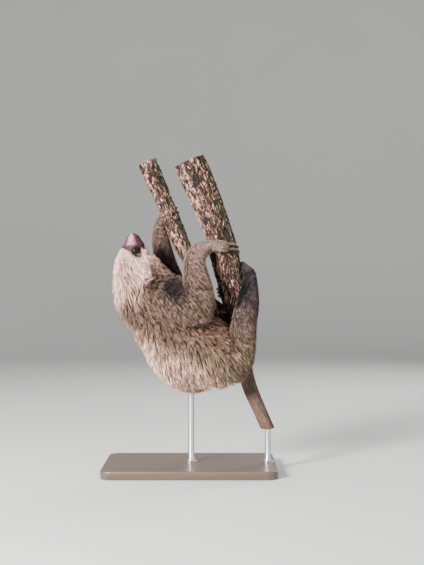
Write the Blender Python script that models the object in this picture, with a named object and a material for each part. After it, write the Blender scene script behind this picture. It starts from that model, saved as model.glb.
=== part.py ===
"""Two-toed sloth climbing a forked liana: a still, life-size display model on a plain stand.

Metres, +Z up.  +X runs from the animal's back towards the vine that it holds, -Y is the
animal's right side and +Y its left.  The origin is the centre of the stand's underside.
The flesh nodes are as large as the animal with its coat on.
"""
import math

import bmesh
import bpy
from mathutils import Vector

# ---------------------------------------------------------------- driving sizes
GAP = 0.0006             # clearance between two pieces that touch
VOXEL = 0.0040           # fineness at which overlapping rounds are melted into one body
MELT_ROUNDS = 7          # smoothing passes over a melted body
ROUND_SPACING = 0.3      # distance between rounds along a run, in radii
FINE_STEPS = 24          # points in each span of a run: to find a place on it,
MELT_STEPS = 12          # to set the rounds of the flesh along it,
TUBE_STEPS = 3           # and for the rings of a vine
TRUNK_TRIANGLES = 1550
LIMB_TRIANGLES = 435
SHARP_ANGLE = math.radians(38)

BASE_SIZE = (0.460, 0.320, 0.022)
BASE_CORNER = 0.030
BASE_EDGE = 0.003
CORNER_STEPS = 6
EDGE_STEPS = 2
ROD_RADIUS = 0.008
BODY_ROD = (0.003, 0.0)  # where the rod under the rump stands
BODY_ROD_TOP = 0.240
STEM_FOOT = 0.112        # height at which the perch's lower end is sawn off

EYE_RADIUS = 0.0076
EYE_BULGE = 0.0010       # how far an eye stands out of the head
EYE_FACETS = (14, 8)     # round the eye, and from front to back
CLAW_TIP = 0.0009        # radius of a claw's point
CLAW_FULLNESS = 0.8      # below 1, a claw stays thick longer and then runs to its point
CLAW_RINGS = 8
CLAW_SIDES = 6
VINE_SIDES = (14, 10)    # thick, thin
ROD_SIDES = 16

# ---------------------------------------------------------------- runs of the body
# Each run is a smooth line through named places: (x, y, z, radius with the coat).
SPINE = (
    (-0.1515, -0.030, 0.617, 0.0205),  # nose pad
    (-0.1500, -0.029, 0.606, 0.026),  # muzzle
    (-0.149, -0.028, 0.592, 0.036),   # root of the muzzle
    (-0.150, -0.022, 0.562, 0.056),   # forehead and cheeks
    (-0.1445, -0.016, 0.524, 0.070),  # crown
    (-0.138, -0.010, 0.483, 0.077),   # nape
    (-0.119, -0.004, 0.440, 0.080),   # mane on the neck
    (-0.081, 0.000, 0.410, 0.084),    # withers
    (-0.044, 0.000, 0.374, 0.101),    # rib cage
    (-0.019, 0.000, 0.341, 0.111),    # loin
    (0.003, 0.000, 0.317, 0.110),     # rump
)
THROAT = (
    (-0.119, -0.018, 0.545, 0.043),   # angle of the jaw
    (-0.081, -0.006, 0.508, 0.0445),  # throat
    (-0.054, 0.000, 0.452, 0.078),    # breast
)
RIGHT_FLANK = (
    (-0.054, 0.000, 0.452, 0.078),    # breast
    (0.000, -0.026, 0.383, 0.066),    # end of the ribs
    (0.0594, -0.040, 0.360, 0.057),   # round of the belly, beside the knee
)
LEFT_FLANK = tuple((x, -y, z, radius) for x, y, z, radius in RIGHT_FLANK)
RIGHT_ARM = (
    (-0.081, -0.055, 0.459, 0.055),   # shoulder
    (-0.027, -0.085, 0.443, 0.050),
    (0.024, -0.098, 0.437, 0.045),    # elbow
    (0.0216, -0.078, 0.491, 0.041),
    (0.012, -0.045, 0.5535, 0.032),   # wrist
    (0.026, -0.028, 0.5886, 0.026),   # palm
    (0.059, -0.018, 0.605, 0.0165),   # knuckles
    (0.0864, -0.021, 0.601, 0.012),   # ends of the two fingers
)
LEFT_ARM = (
    (-0.065, 0.055, 0.459, 0.050),    # shoulder
    (-0.043, 0.100, 0.468, 0.043),    # elbow
    (-0.070, 0.098, 0.5616, 0.031),
    (-0.0837, 0.088, 0.621, 0.027),   # wrist
    (-0.085, 0.082, 0.6588, 0.018),   # palm
    (-0.077, 0.079, 0.691, 0.011),    # ends of the two fingers
)
RIGHT_LEG = (
    (0.043, -0.055, 0.308, 0.076),    # hip
    (0.081, -0.068, 0.300, 0.070),    # thigh
    (0.132, -0.080, 0.308, 0.042),    # knee
    (0.142, -0.070, 0.3915, 0.037),   # shin
    (0.154, -0.055, 0.4536, 0.032),   # ankle
    (0.159, -0.035, 0.494, 0.024),    # heel of the palm-like sole
    (0.1607, -0.008, 0.5265, 0.0175),
    (0.154, 0.022, 0.537, 0.0125),    # ends of the three toes
)
LEFT_LEG = (
    (0.043, 0.055, 0.308, 0.075),     # hip
    (0.076, 0.066, 0.297, 0.068),     # thigh
    (0.119, 0.083, 0.292, 0.042),     # knee
    (0.135, 0.084, 0.356, 0.036),     # shin
    (0.143, 0.086, 0.410, 0.030),     # ankle
    (0.132, 0.083, 0.448, 0.023),
    (0.1134, 0.080, 0.4725, 0.017),
    (0.088, 0.067, 0.483, 0.0125),    # ends of the three toes
)

# ---------------------------------------------------------------- runs of the perch
THICK_VINE = (
    (-0.003, 0.030, 0.837, 0.043),    # upper saw cut
    (0.043, 0.031, 0.729, 0.0405),
    (0.074, 0.031, 0.648, 0.039),
    (0.0864, 0.030, 0.605, 0.038),    # under the right hand
    (0.108, 0.026, 0.513, 0.036),     # between the feet
    (0.1215, 0.022, 0.4455, 0.034),   # fork
    (0.135, 0.020, 0.3645, 0.030),
    (0.146, 0.016, 0.2835, 0.023),
    (0.159, 0.010, 0.2295, 0.020),
    (0.1755, 0.004, 0.189, 0.019),
    (0.2115, 0.000, 0.108, 0.019),    # past the lower saw cut
)
THIN_VINE = (
    (-0.119, 0.050, 0.837, 0.026),    # upper saw cut
    (-0.090, 0.050, 0.7695, 0.024),
    (-0.0567, 0.050, 0.691, 0.0227),  # under the left hand
    (-0.023, 0.047, 0.6075, 0.0216),
    (0.000, 0.045, 0.5616, 0.0216),
    (0.0216, 0.043, 0.502, 0.0216),
    (0.043, 0.040, 0.459, 0.0216),
    (0.0756, 0.034, 0.429, 0.0216),
    (0.113, 0.026, 0.4158, 0.0216),   # inside the thick vine, at the fork
)
BARK_LUMPS = (0.035, 4.0)             # share of the radius, lumps along the vine

# ---------------------------------------------------------------- cuts between the named parts
# (point, direction that points towards the first-named part)
MUZZLE_CUT = (Vector((-0.150, -0.028, 0.598)), Vector((-0.05, 0.0, 1.0)))
HEAD_CUT = (Vector((-0.138, 0.0, 0.494)), Vector((-0.362, 0.0, 0.932)))
NECK_CUT = (Vector((-0.089, 0.0, 0.435)), Vector((-0.780, 0.0, 0.627)))
WAIST_CUT = (Vector((-0.027, 0.0, 0.3456)), Vector((-0.651, 0.0, 0.759)))

# Eyes: a point on the axis of the head, and the way out from it to each eye.
EYE_AXIS = Vector((-0.1495, -0.0265, 0.588))
EYES = {
    "eye_right": Vector((0.10, -0.98, 0.10)),
    "eye_left": Vector((-0.93, 0.33, 0.10)),
}

# Claws on a vine: (vine, height of the middle claw, angle where it starts, sweep round the vine,
# fall along the vine, number of claws, spacing, root radius).  Angle 0 is +X and 90 is +Y.
CLAWS = {
    "hand_right": (THICK_VINE, 0.6000, -82, 100, -0.018, 2, 0.0125, 0.0052),
    "hand_left": (THIN_VINE, 0.6930, 118, -140, 0.004, 2, 0.0120, 0.0048),
    "foot_right": (THICK_VINE, 0.5360, 4, 98, -0.006, 3, 0.0098, 0.0046),
    "foot_left": (THICK_VINE, 0.4830, 114, 98, 0.006, 3, 0.0098, 0.0046),
}

# ---------------------------------------------------------------- finishes
FINISHES = {
    "coat_pale": ((0.62, 0.52, 0.44), 0.90, 0.0),
    "coat_tan": ((0.42, 0.31, 0.23), 0.92, 0.0),
    "coat_short": ((0.48, 0.38, 0.31), 0.88, 0.0),
    "muzzle_skin": ((0.50, 0.34, 0.37), 0.50, 0.0),
    "eye": ((0.03, 0.015, 0.012), 0.08, 0.0),
    "claw": ((0.33, 0.27, 0.20), 0.40, 0.0),
    "bark": ((0.36, 0.25, 0.19), 0.93, 0.0),
    "stand_board": ((0.12, 0.09, 0.07), 0.45, 0.0),
    "stand_metal": ((0.55, 0.55, 0.56), 0.35, 1.0),
}


def clear_scene():
    """Start from an empty scene."""
    for old in list(bpy.data.objects):
        bpy.data.objects.remove(old, do_unlink=True)


def make_finishes():
    """One Principled material for each finish."""
    made = {}
    for name, (colour, roughness, metallic) in FINISHES.items():
        material = bpy.data.materials.new(name)
        material.use_nodes = True
        shader = material.node_tree.nodes["Principled BSDF"]
        shader.inputs["Base Color"].default_value = (*colour, 1.0)
        shader.inputs["Roughness"].default_value = roughness
        shader.inputs["Metallic"].default_value = metallic
        made[name] = material
    return made


def new_object(name, mesh):
    """Link a mesh into the scene under a name."""
    obj = bpy.data.objects.new(name, mesh)
    bpy.context.scene.collection.objects.link(obj)
    return obj


def bake(obj):
    """Replace an object's data by the mesh that its modifiers or its curve make."""
    graph = bpy.context.evaluated_depsgraph_get()
    mesh = bpy.data.meshes.new_from_object(obj.evaluated_get(graph))
    name = obj.name
    bpy.data.objects.remove(obj, do_unlink=True)
    return new_object(name, mesh)


def finish(obj, material):
    """Give a finished node its material and smooth shading with crisp cut edges."""
    obj.data.materials.clear()
    obj.data.materials.append(material)
    obj.data.shade_smooth()
    obj.data.set_sharp_from_angle(angle=SHARP_ANGLE)


# ---------------------------------------------------------------- runs
def catmull(before, start, end, after, t):
    """A point of the smooth line between start and end."""
    return tuple(
        0.5 * (2 * b + (c - a) * t + (2 * a - 5 * b + 4 * c - d) * t * t
               + (3 * b - a - 3 * c + d) * t ** 3)
        for a, b, c, d in zip(before, start, end, after))


def resample(run, steps):
    """The smooth line through a run's places, with steps points in each span."""
    ends = (run[0],) + tuple(run) + (run[-1],)
    line = []
    for i in range(1, len(ends) - 2):
        line += [catmull(*ends[i - 1:i + 3], k / steps) for k in range(steps)]
    return line + [run[-1]]


def place_on(run, height):
    """Centre, direction and radius of a run at a height, the run going downwards."""
    line = resample(run, FINE_STEPS)
    for upper, lower in zip(line, line[1:]):
        if upper[2] >= height >= lower[2]:
            t = (upper[2] - height) / (upper[2] - lower[2])
            centre = Vector(upper[:3]).lerp(Vector(lower[:3]), t)
            direction = (Vector(upper[:3]) - Vector(lower[:3])).normalized()
            return centre, direction, upper[3] + (lower[3] - upper[3]) * t
    raise ValueError("the run doesn't reach this height")


# ---------------------------------------------------------------- flesh
def melt(name, runs, triangles):
    """One closed body from rounds set along runs, melted together and thinned to a triangle count."""
    bm = bmesh.new()
    for run in runs:
        last = None
        for x, y, z, radius in resample(run, MELT_STEPS):
            here = Vector((x, y, z))
            if last is not None and (here - last).length < ROUND_SPACING * radius:
                continue
            made = bmesh.ops.create_icosphere(bm, subdivisions=3, radius=radius)
            bmesh.ops.translate(bm, verts=made["verts"], vec=here)
            last = here
        x, y, z, radius = run[-1]
        made = bmesh.ops.create_icosphere(bm, subdivisions=3, radius=radius)
        bmesh.ops.translate(bm, verts=made["verts"], vec=Vector((x, y, z)))
    mesh = bpy.data.meshes.new(name)
    bm.to_mesh(mesh)
    bm.free()
    body = new_object(name, mesh)
    remesh = body.modifiers.new("melt", "REMESH")
    remesh.mode = "VOXEL"
    remesh.voxel_size = VOXEL
    smooth = body.modifiers.new("smooth", "SMOOTH")
    smooth.factor = 0.5
    smooth.iterations = MELT_ROUNDS
    body = bake(body)
    thin = body.modifiers.new("thin", "DECIMATE")
    thin.ratio = triangles / (2 * len(body.data.polygons))
    thin.use_collapse_triangulate = True
    return bake(body)


def keep_side(name, source, cuts):
    """A capped copy of a closed body, on the side that each (point, direction) points to."""
    bm = bmesh.new()
    bm.from_mesh(source.data)
    for point, direction in cuts:
        way = direction.normalized()
        bmesh.ops.bisect_plane(bm, geom=bm.verts[:] + bm.edges[:] + bm.faces[:],
                               plane_co=point + way * GAP / 2, plane_no=way, clear_inner=True)
        bmesh.ops.holes_fill(bm, edges=[edge for edge in bm.edges if edge.is_boundary])
    bmesh.ops.triangulate(bm, faces=bm.faces[:])
    bmesh.ops.recalc_face_normals(bm, faces=bm.faces[:])
    mesh = bpy.data.meshes.new(name)
    bm.to_mesh(mesh)
    bm.free()
    return new_object(name, mesh)


def opposite(cut):
    """The same cut seen from its other side."""
    return cut[0], -cut[1]


def grown(source, distance):
    """A hidden cutter: a copy of a body, swollen along its normals."""
    bm = bmesh.new()
    bm.from_mesh(source.data)
    bm.normal_update()
    for vert, normal in [(v, v.normal.copy()) for v in bm.verts]:
        vert.co += normal * distance
    mesh = bpy.data.meshes.new(source.name + "_cutter")
    bm.to_mesh(mesh)
    bm.free()
    return new_object(mesh.name, mesh)


def largest_piece(obj):
    """Drop the crumbs that a cut may leave beside the main body."""
    bm = bmesh.new()
    bm.from_mesh(obj.data)
    left = set(bm.verts)
    pieces = []
    while left:
        piece, queue = set(), [left.pop()]
        while queue:
            vert = queue.pop()
            piece.add(vert)
            for edge in vert.link_edges:
                other = edge.other_vert(vert)
                if other in left:
                    left.remove(other)
                    queue.append(other)
        pieces.append(piece)
    keep = max(pieces, key=len)
    bmesh.ops.delete(bm, geom=[v for v in bm.verts if v not in keep], context="VERTS")
    bm.to_mesh(obj.data)
    bm.free()


def carve(obj, tool, distance=GAP):
    """Cut a piece back so that it clears another by a distance."""
    cutter = grown(tool, distance)
    cut = obj.modifiers.new("clear", "BOOLEAN")
    cut.operation = "DIFFERENCE"
    cut.object = cutter
    made = bake(obj)
    bpy.data.objects.remove(cutter, do_unlink=True)
    largest_piece(made)
    return made


# ---------------------------------------------------------------- perch, claws and stand
def tube(name, line, sides, lumps=(0.0, 1.0)):
    """A closed round bar along a line of (x, y, z, radius)."""
    curve = bpy.data.curves.new(name, "CURVE")
    curve.dimensions = "3D"
    curve.bevel_depth = 1.0
    curve.bevel_resolution = (sides - 4) // 2
    curve.use_fill_caps = True
    spline = curve.splines.new("POLY")
    spline.points.add(len(line) - 1)
    for i, (point, (x, y, z, radius)) in enumerate(zip(spline.points, line)):
        wave = math.sin(2 * math.pi * lumps[1] * i / len(line))
        point.co = (x, y, z, 1.0)
        point.radius = radius * (1 + lumps[0] * wave)
    made = bake(new_object(name, curve))
    bm = bmesh.new()
    bm.from_mesh(made.data)
    bmesh.ops.remove_doubles(bm, verts=bm.verts[:], dist=0.00001)
    bmesh.ops.recalc_face_normals(bm, faces=bm.faces[:])
    bm.to_mesh(made.data)
    bm.free()
    return made


def make_perch():
    """The forked length of liana: the thick stem, and the thin one that leaves it at the fork."""
    thick = tube("perch_thick_vine", resample(THICK_VINE, TUBE_STEPS), VINE_SIDES[0], BARK_LUMPS)
    lower_cut = (Vector((0.0, 0.0, STEM_FOOT)), Vector((0.0, 0.0, 1.0)))
    sawn = keep_side("perch_sawn", thick, [lower_cut])
    bpy.data.objects.remove(thick, do_unlink=True)
    sawn.name = "perch_thick_vine"
    thin = tube("perch_thin_vine", resample(THIN_VINE, TUBE_STEPS), VINE_SIDES[1], BARK_LUMPS)
    thin = carve(thin, sawn)
    return sawn, thin


def make_claws(finishes, limb, end):
    """Hooked claws of one hand or foot, lying round the vine from the ends of its digits."""
    vine, height, start, sweep, fall, count, spacing, root = CLAWS[limb]
    made = []
    for i in range(count):
        offset = (i - (count - 1) / 2) * spacing
        line = []
        for k in range(CLAW_RINGS):
            share = k / (CLAW_RINGS - 1)
            centre, up, vine_radius = place_on(vine, height - offset + fall * share)
            side = (Vector((1, 0, 0)) - up * up.x).normalized()
            back = up.cross(side)
            angle = math.radians(start + sweep * share)
            radius = CLAW_TIP + (root - CLAW_TIP) * (1 - share) ** CLAW_FULLNESS
            reach = vine_radius * (1 + BARK_LUMPS[0]) + GAP + radius
            spot = centre + (side * math.cos(angle) + back * math.sin(angle)) * reach
            line.append((*spot, radius))
        claw = tube(f"{limb}_claw_{i + 1}", line, CLAW_SIDES)
        claw = carve(claw, end)
        finish(claw, finishes["claw"])
        made.append(claw)
    return made


def make_stand(finishes):
    """A flat base with two short rods: one under the rump, one under the perch's lower end."""
    width, depth, height = BASE_SIZE
    bm = bmesh.new()
    bmesh.ops.create_cube(bm, size=1.0)
    bmesh.ops.scale(bm, verts=bm.verts[:], vec=BASE_SIZE)
    bmesh.ops.translate(bm, verts=bm.verts[:], vec=(0, 0, height / 2))
    uprights = [e for e in bm.edges if abs(e.verts[0].co.z - e.verts[1].co.z) > height / 2]
    bmesh.ops.bevel(bm, geom=uprights, offset=BASE_CORNER, segments=CORNER_STEPS,
                    affect="EDGES", profile=0.5)
    rim = [e for e in bm.edges if min(v.co.z for v in e.verts) > height - 1e-6]
    bmesh.ops.bevel(bm, geom=rim, offset=BASE_EDGE, segments=EDGE_STEPS,
                    affect="EDGES", profile=0.5)
    mesh = bpy.data.meshes.new("stand_base")
    bm.to_mesh(mesh)
    bm.free()
    finish(new_object("stand_base", mesh), finishes["stand_board"])

    foot = place_on(THICK_VINE, STEM_FOOT)[0]
    rods = {
        "stand_rod_body": (*BODY_ROD, BODY_ROD_TOP),
        "stand_rod_perch": (foot.x, foot.y, STEM_FOOT - GAP / 2),
    }
    for name, (x, y, top) in rods.items():
        line = [(x, y, z, ROD_RADIUS) for z in (height + GAP, top)]
        finish(tube(name, line, ROD_SIDES), finishes["stand_metal"])


# ---------------------------------------------------------------- the animal
def make_eye(name, way, head):
    """An eyeball sunk in the head, standing out by the bulge."""
    surface = head.ray_cast(EYE_AXIS, way.normalized())[1]
    centre = surface + way.normalized() * (EYE_BULGE - EYE_RADIUS)
    bm = bmesh.new()
    bmesh.ops.create_uvsphere(bm, u_segments=EYE_FACETS[0], v_segments=EYE_FACETS[1],
                              radius=EYE_RADIUS)
    turn = way.to_track_quat("Z", "Y").to_matrix()
    bmesh.ops.rotate(bm, verts=bm.verts[:], matrix=turn)
    bmesh.ops.translate(bm, verts=bm.verts[:], vec=centre)
    mesh = bpy.data.meshes.new(name)
    bm.to_mesh(mesh)
    bm.free()
    return new_object(name, mesh)


def make_trunk(finishes, perch):
    """Muzzle, head, neck, chest and hindquarters, parted from one body, and the two eyes."""
    whole = melt("whole_trunk", [SPINE, THROAT, RIGHT_FLANK, LEFT_FLANK], TRUNK_TRIANGLES)
    for stem in perch:
        whole = carve(whole, stem)
    eyes = [make_eye(name, way, whole) for name, way in EYES.items()]
    for eye in eyes:
        finish(eye, finishes["eye"])
        whole = carve(whole, eye)
    rod = bpy.data.objects["stand_rod_body"]
    nodes = {
        "muzzle": ([MUZZLE_CUT], "muzzle_skin"),
        "head": ([opposite(MUZZLE_CUT), HEAD_CUT], "coat_pale"),
        "neck": ([opposite(HEAD_CUT), NECK_CUT], "coat_pale"),
        "chest": ([opposite(NECK_CUT), WAIST_CUT], "coat_tan"),
        "hindquarters": ([opposite(WAIST_CUT)], "coat_tan"),
    }
    for name, (cuts, look) in nodes.items():
        node = keep_side(name, whole, cuts)
        largest_piece(node)
        if name == "hindquarters":
            node = carve(node, rod)
        finish(node, finishes[look])
    return whole


def joint_cut(run, index):
    """A cut across a limb at one of its places, pointing towards the limb's end."""
    before, here, after = (Vector(run[index + k][:3]) for k in (-1, 0, 1))
    return here, (after - before).normalized()


def make_limb(finishes, perch, whole, side, run, joints, names):
    """A limb of three nodes, parted at two joints and set against the trunk."""
    limb = melt("whole_limb", [run], LIMB_TRIANGLES)
    upper_cut, lower_cut = (joint_cut(run, index) for index in joints)
    spans = ([opposite(upper_cut)], [upper_cut, opposite(lower_cut)], [lower_cut])
    looks = ("coat_tan", "coat_tan", "coat_short")
    for name, cuts, look in zip(names, spans, looks):
        node = keep_side(f"{name}_{side}", limb, cuts)
        largest_piece(node)
        node = carve(node, whole)
        for stem in perch:
            node = carve(node, stem)
        finish(node, finishes[look])
    bpy.data.objects.remove(limb, do_unlink=True)
    end = bpy.data.objects[f"{names[-1]}_{side}"]
    make_claws(finishes, end.name, end)


def main():
    clear_scene()
    finishes = make_finishes()
    make_stand(finishes)
    perch = make_perch()
    for stem in perch:
        finish(stem, finishes["bark"])
    whole = make_trunk(finishes, perch)
    arm, leg = ("upper_arm", "forearm", "hand"), ("thigh", "shin", "foot")
    make_limb(finishes, perch, whole, "right", RIGHT_ARM, (2, 4), arm)
    make_limb(finishes, perch, whole, "left", LEFT_ARM, (1, 3), arm)
    make_limb(finishes, perch, whole, "right", RIGHT_LEG, (2, 4), leg)
    make_limb(finishes, perch, whole, "left", LEFT_LEG, (2, 4), leg)
    bpy.data.objects.remove(whole, do_unlink=True)


main()
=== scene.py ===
"""Looks of a two-toed sloth that climbs a forked liana: a still, life-size display model.

Metres, +Z up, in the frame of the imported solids, whose flesh reaches about to the coat's tips.
One skin lies inside them by the coat's depth, and the coat grows from the skin as tufts.
"""
import contextlib
import math

import bmesh
import bpy
import numpy as np
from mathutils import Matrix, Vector, kdtree, noise


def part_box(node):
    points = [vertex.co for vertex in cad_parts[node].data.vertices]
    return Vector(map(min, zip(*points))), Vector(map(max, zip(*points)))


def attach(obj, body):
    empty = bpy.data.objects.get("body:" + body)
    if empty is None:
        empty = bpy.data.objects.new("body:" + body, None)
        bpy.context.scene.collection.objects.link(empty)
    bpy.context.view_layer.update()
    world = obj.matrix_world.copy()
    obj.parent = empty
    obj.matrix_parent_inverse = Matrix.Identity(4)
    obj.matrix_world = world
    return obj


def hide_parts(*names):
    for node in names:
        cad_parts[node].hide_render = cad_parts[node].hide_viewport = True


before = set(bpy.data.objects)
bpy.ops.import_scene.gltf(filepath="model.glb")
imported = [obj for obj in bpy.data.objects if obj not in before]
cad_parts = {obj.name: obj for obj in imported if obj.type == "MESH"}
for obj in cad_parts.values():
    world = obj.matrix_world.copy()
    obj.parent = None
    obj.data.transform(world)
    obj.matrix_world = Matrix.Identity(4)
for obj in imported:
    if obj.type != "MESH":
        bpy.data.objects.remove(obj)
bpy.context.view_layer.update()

SEED = 41


def mirrored(run):
    """A run on the other side of the body."""
    return tuple((x, -y, *rest) for x, y, *rest in run)


# ---- the animal's runs
# Each run is a smooth line through named places: (x, y, z, radius with the coat, coat depth).
BREAST = (-0.054, 0.0, 0.452, 0.078, 0.022)
FLANK_LEFT = (BREAST, (0.0, 0.026, 0.383, 0.066, 0.020), (0.0594, 0.040, 0.360, 0.057, 0.018))
RUNS = {
    "spine": (
        (-0.1515, -0.030, 0.617, 0.0205, 0.0005),   # nose pad
        (-0.1500, -0.029, 0.606, 0.0260, 0.0015),   # muzzle
        (-0.1490, -0.028, 0.592, 0.036, 0.005),     # root of the muzzle
        (-0.1500, -0.022, 0.562, 0.056, 0.018),     # forehead and cheeks
        (-0.1445, -0.016, 0.524, 0.070, 0.027),     # crown
        (-0.1380, -0.010, 0.483, 0.077, 0.033),     # nape
        (-0.1190, -0.004, 0.440, 0.080, 0.033),     # mane on the neck
        (-0.081, 0.0, 0.410, 0.084, 0.028),         # withers
        (-0.044, 0.0, 0.374, 0.101, 0.026),         # rib cage
        (-0.019, 0.0, 0.341, 0.111, 0.026),         # loin
        (0.003, 0.0, 0.317, 0.112, 0.028),          # rump
    ),
    "throat": ((-0.119, -0.018, 0.545, 0.043, 0.015), (-0.081, -0.006, 0.508, 0.0445, 0.0165), BREAST),
    "flank_right": mirrored(FLANK_LEFT),
    "flank_left": FLANK_LEFT,
    "arm_right": (
        (-0.0810, -0.055, 0.4590, 0.055, 0.020),    # shoulder
        (-0.0270, -0.085, 0.4430, 0.050, 0.018),
        (0.0240, -0.098, 0.4370, 0.045, 0.015),     # elbow
        (0.0216, -0.078, 0.4910, 0.041, 0.013),
        (0.0120, -0.045, 0.5535, 0.032, 0.009),     # wrist
        (0.0260, -0.028, 0.5886, 0.026, 0.006),     # palm
        (0.0590, -0.018, 0.6050, 0.0165, 0.0045),   # knuckles
        (0.0864, -0.021, 0.6010, 0.012, 0.005),
    ),
    "arm_left": (
        (-0.0650, 0.055, 0.4590, 0.050, 0.018),     # shoulder
        (-0.0430, 0.100, 0.4680, 0.043, 0.015),     # elbow
        (-0.0700, 0.098, 0.5616, 0.031, 0.010),
        (-0.0837, 0.088, 0.6210, 0.027, 0.008),     # wrist
        (-0.0850, 0.082, 0.6588, 0.018, 0.005),     # palm
        (-0.0770, 0.079, 0.6910, 0.011, 0.0045),
    ),
    "leg_right": (
        (0.0430, -0.055, 0.3080, 0.0815, 0.0290),   # hip
        (0.0810, -0.068, 0.3000, 0.0750, 0.0265),   # thigh
        (0.1320, -0.080, 0.3080, 0.042, 0.015),     # knee
        (0.1420, -0.070, 0.3915, 0.037, 0.012),     # shin
        (0.1540, -0.055, 0.4536, 0.032, 0.010),     # ankle
        (0.1590, -0.035, 0.4940, 0.024, 0.007),     # sole
        (0.1607, -0.008, 0.5265, 0.0175, 0.0050),
        (0.1540, 0.022, 0.5370, 0.0125, 0.0045),
    ),
    "leg_left": (
        (0.0430, 0.055, 0.3080, 0.075, 0.024),      # hip
        (0.0760, 0.066, 0.2970, 0.068, 0.022),      # thigh
        (0.1190, 0.083, 0.2920, 0.042, 0.015),      # knee
        (0.1350, 0.084, 0.3560, 0.036, 0.012),      # shin
        (0.1430, 0.086, 0.4100, 0.030, 0.010),      # ankle
        (0.1320, 0.083, 0.4480, 0.023, 0.007),
        (0.1134, 0.080, 0.4725, 0.017, 0.005),
        (0.0880, 0.067, 0.4830, 0.0125, 0.0045),
    ),
}
END_OF_LIMB = {"arm_right": 4.2, "arm_left": 3.2, "leg_right": 4.6, "leg_left": 4.6}
END_NODE = {"arm_right": "hand_right", "arm_left": "hand_left",
            "leg_right": "foot_right", "leg_left": "foot_left"}

# ---- the perch and the stand
# Each vine runs downwards: (x, y, z, radius).  The bark swells slowly, as on the solids.
THICK_VINE = (
    (-0.003, 0.030, 0.837, 0.043), (0.043, 0.031, 0.729, 0.0405), (0.074, 0.031, 0.648, 0.039),
    (0.0864, 0.030, 0.605, 0.038), (0.108, 0.026, 0.513, 0.036), (0.1215, 0.022, 0.4455, 0.034),
    (0.135, 0.020, 0.3645, 0.030), (0.146, 0.016, 0.2835, 0.023), (0.159, 0.010, 0.2295, 0.020),
    (0.1755, 0.004, 0.189, 0.019), (0.2115, 0.0, 0.108, 0.019),
)
THIN_VINE = (
    (-0.119, 0.050, 0.837, 0.026), (-0.090, 0.050, 0.7695, 0.024), (-0.0567, 0.050, 0.691, 0.0227),
    (-0.023, 0.047, 0.6075, 0.0216), (0.0, 0.045, 0.5616, 0.0216), (0.0216, 0.043, 0.502, 0.0216),
    (0.043, 0.040, 0.459, 0.0216), (0.0756, 0.034, 0.429, 0.0216), (0.113, 0.026, 0.4158, 0.0216),
)
# Bark colours by relief level: darkest in the grooves as painted shade, and palest on the crests,
# partly as painted highlight and partly as paler bark.
BARK_LEVELS = (-1.2, -0.3, 0.4, 1.1, 2.0)
BARK_SHADE_TO_HIGHLIGHT_TONES = ((0.005, 0.003, 0.003), (0.026, 0.013, 0.009), (0.078, 0.037, 0.026),
              (0.165, 0.085, 0.060), (0.50, 0.30, 0.235))
MOSS = (0.042, 0.043, 0.019)
STEM = (0.092, 0.068, 0.050)
SAWN_WOOD = np.array((0.30, 0.20, 0.125))
VINE_STEPS = 24              # points in each span where a vine is measured
VINE_STEP = 0.0022
CAP_RINGS = 13
BARK_LUMPS = (0.035, 4.0)    # share of the radius, lumps along the vine
LUMP_STEPS = 3               # rings in each span of the solids' vines
BITS_STEP = 0.002            # step along a vine between places for flakes and moss
BASE_SIZE = (0.460, 0.320, 0.022)
BASE_CORNER = 0.030
BASE_EDGE = 0.003
BOARD_TONE = (0.090, 0.055, 0.036)
METAL_TONE = (0.60, 0.60, 0.61)
ROD_RADIUS = 0.008
BODY_ROD = (0.003, 0.0)
BODY_ROD_TOP = 0.240
STEM_FOOT = 0.112
GAP = 0.0006

# Claws: (vine, height of the middle claw, start angle, sweep, fall, count, spacing, root radius).
CLAW_TIP = 0.0009
CLAW_FULLNESS = 0.8
CLAW_RINGS = 26
CLAWS = {
    "hand_right": (THICK_VINE, 0.6000, -82, 100, -0.018, 2, 0.0125, 0.0052),
    "hand_left": (THIN_VINE, 0.6930, 118, -140, 0.004, 2, 0.0120, 0.0048),
    "foot_right": (THICK_VINE, 0.5360, 4, 98, -0.006, 3, 0.0098, 0.0046),
    "foot_left": (THICK_VINE, 0.4830, 114, 98, 0.006, 3, 0.0098, 0.0046),
}
CLAW_COUNTS = {node: row[5] for node, row in CLAWS.items()}

# ---- head
NOSE = np.array(RUNS["spine"][0][:3])
HEAD_F = np.array((-0.100, -0.080, 0.990))     # forward, to the nose
HEAD_R = np.array((0.643, -0.766, 0.0))        # the animal's right
EYE_WAYS = {"eye_right": (0.10, -0.98, 0.10), "eye_left": (-0.93, 0.33, 0.10)}
EYE_RADIUS = 0.0071
EYE_ABOVE = -0.0008          # how far an eyeball's centre lies above the skin
EYE_MOUND = 0.0042           # how far the face rises round an eye to meet its lids
LID_THICK = 0.0007
LID_RADIUS = 0.0092          # bare lids round each eye
LID_COLOUR = (0.010, 0.0045, 0.0045)
DARK_FUR = (0.022, 0.011, 0.011)
FUR_EDGE = -24.5             # where the fur of the face begins, in millimetres from the nose
LIT_SIDE = (0.557, 0.83)     # the side of the muzzle that faces the key light and gets a painted highlight, in its right and up
LILAC = np.array((0.125, 0.054, 0.074))
# A painted highlight goes on the lit side of the muzzle. The dusky colour serves as painted shade on
# the sides turned from the light and as the darker skin at the muzzle's rear.
LILAC_PAINTED_HIGHLIGHT = np.array((0.20, 0.108, 0.148))
DUSKY_SKIN_AND_SHADE = (0.040, 0.018, 0.022)
PUPIL_MIDDLE, PUPIL = (0.004, 0.003, 0.003), (0.003, 0.002, 0.002)
IRIS, EYE_WHITE = np.array((0.012, 0.006, 0.004)), (0.020, 0.013, 0.010)
HORN, DARK_HORN = np.array((0.130, 0.088, 0.060)), (0.040, 0.026, 0.020)

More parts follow.
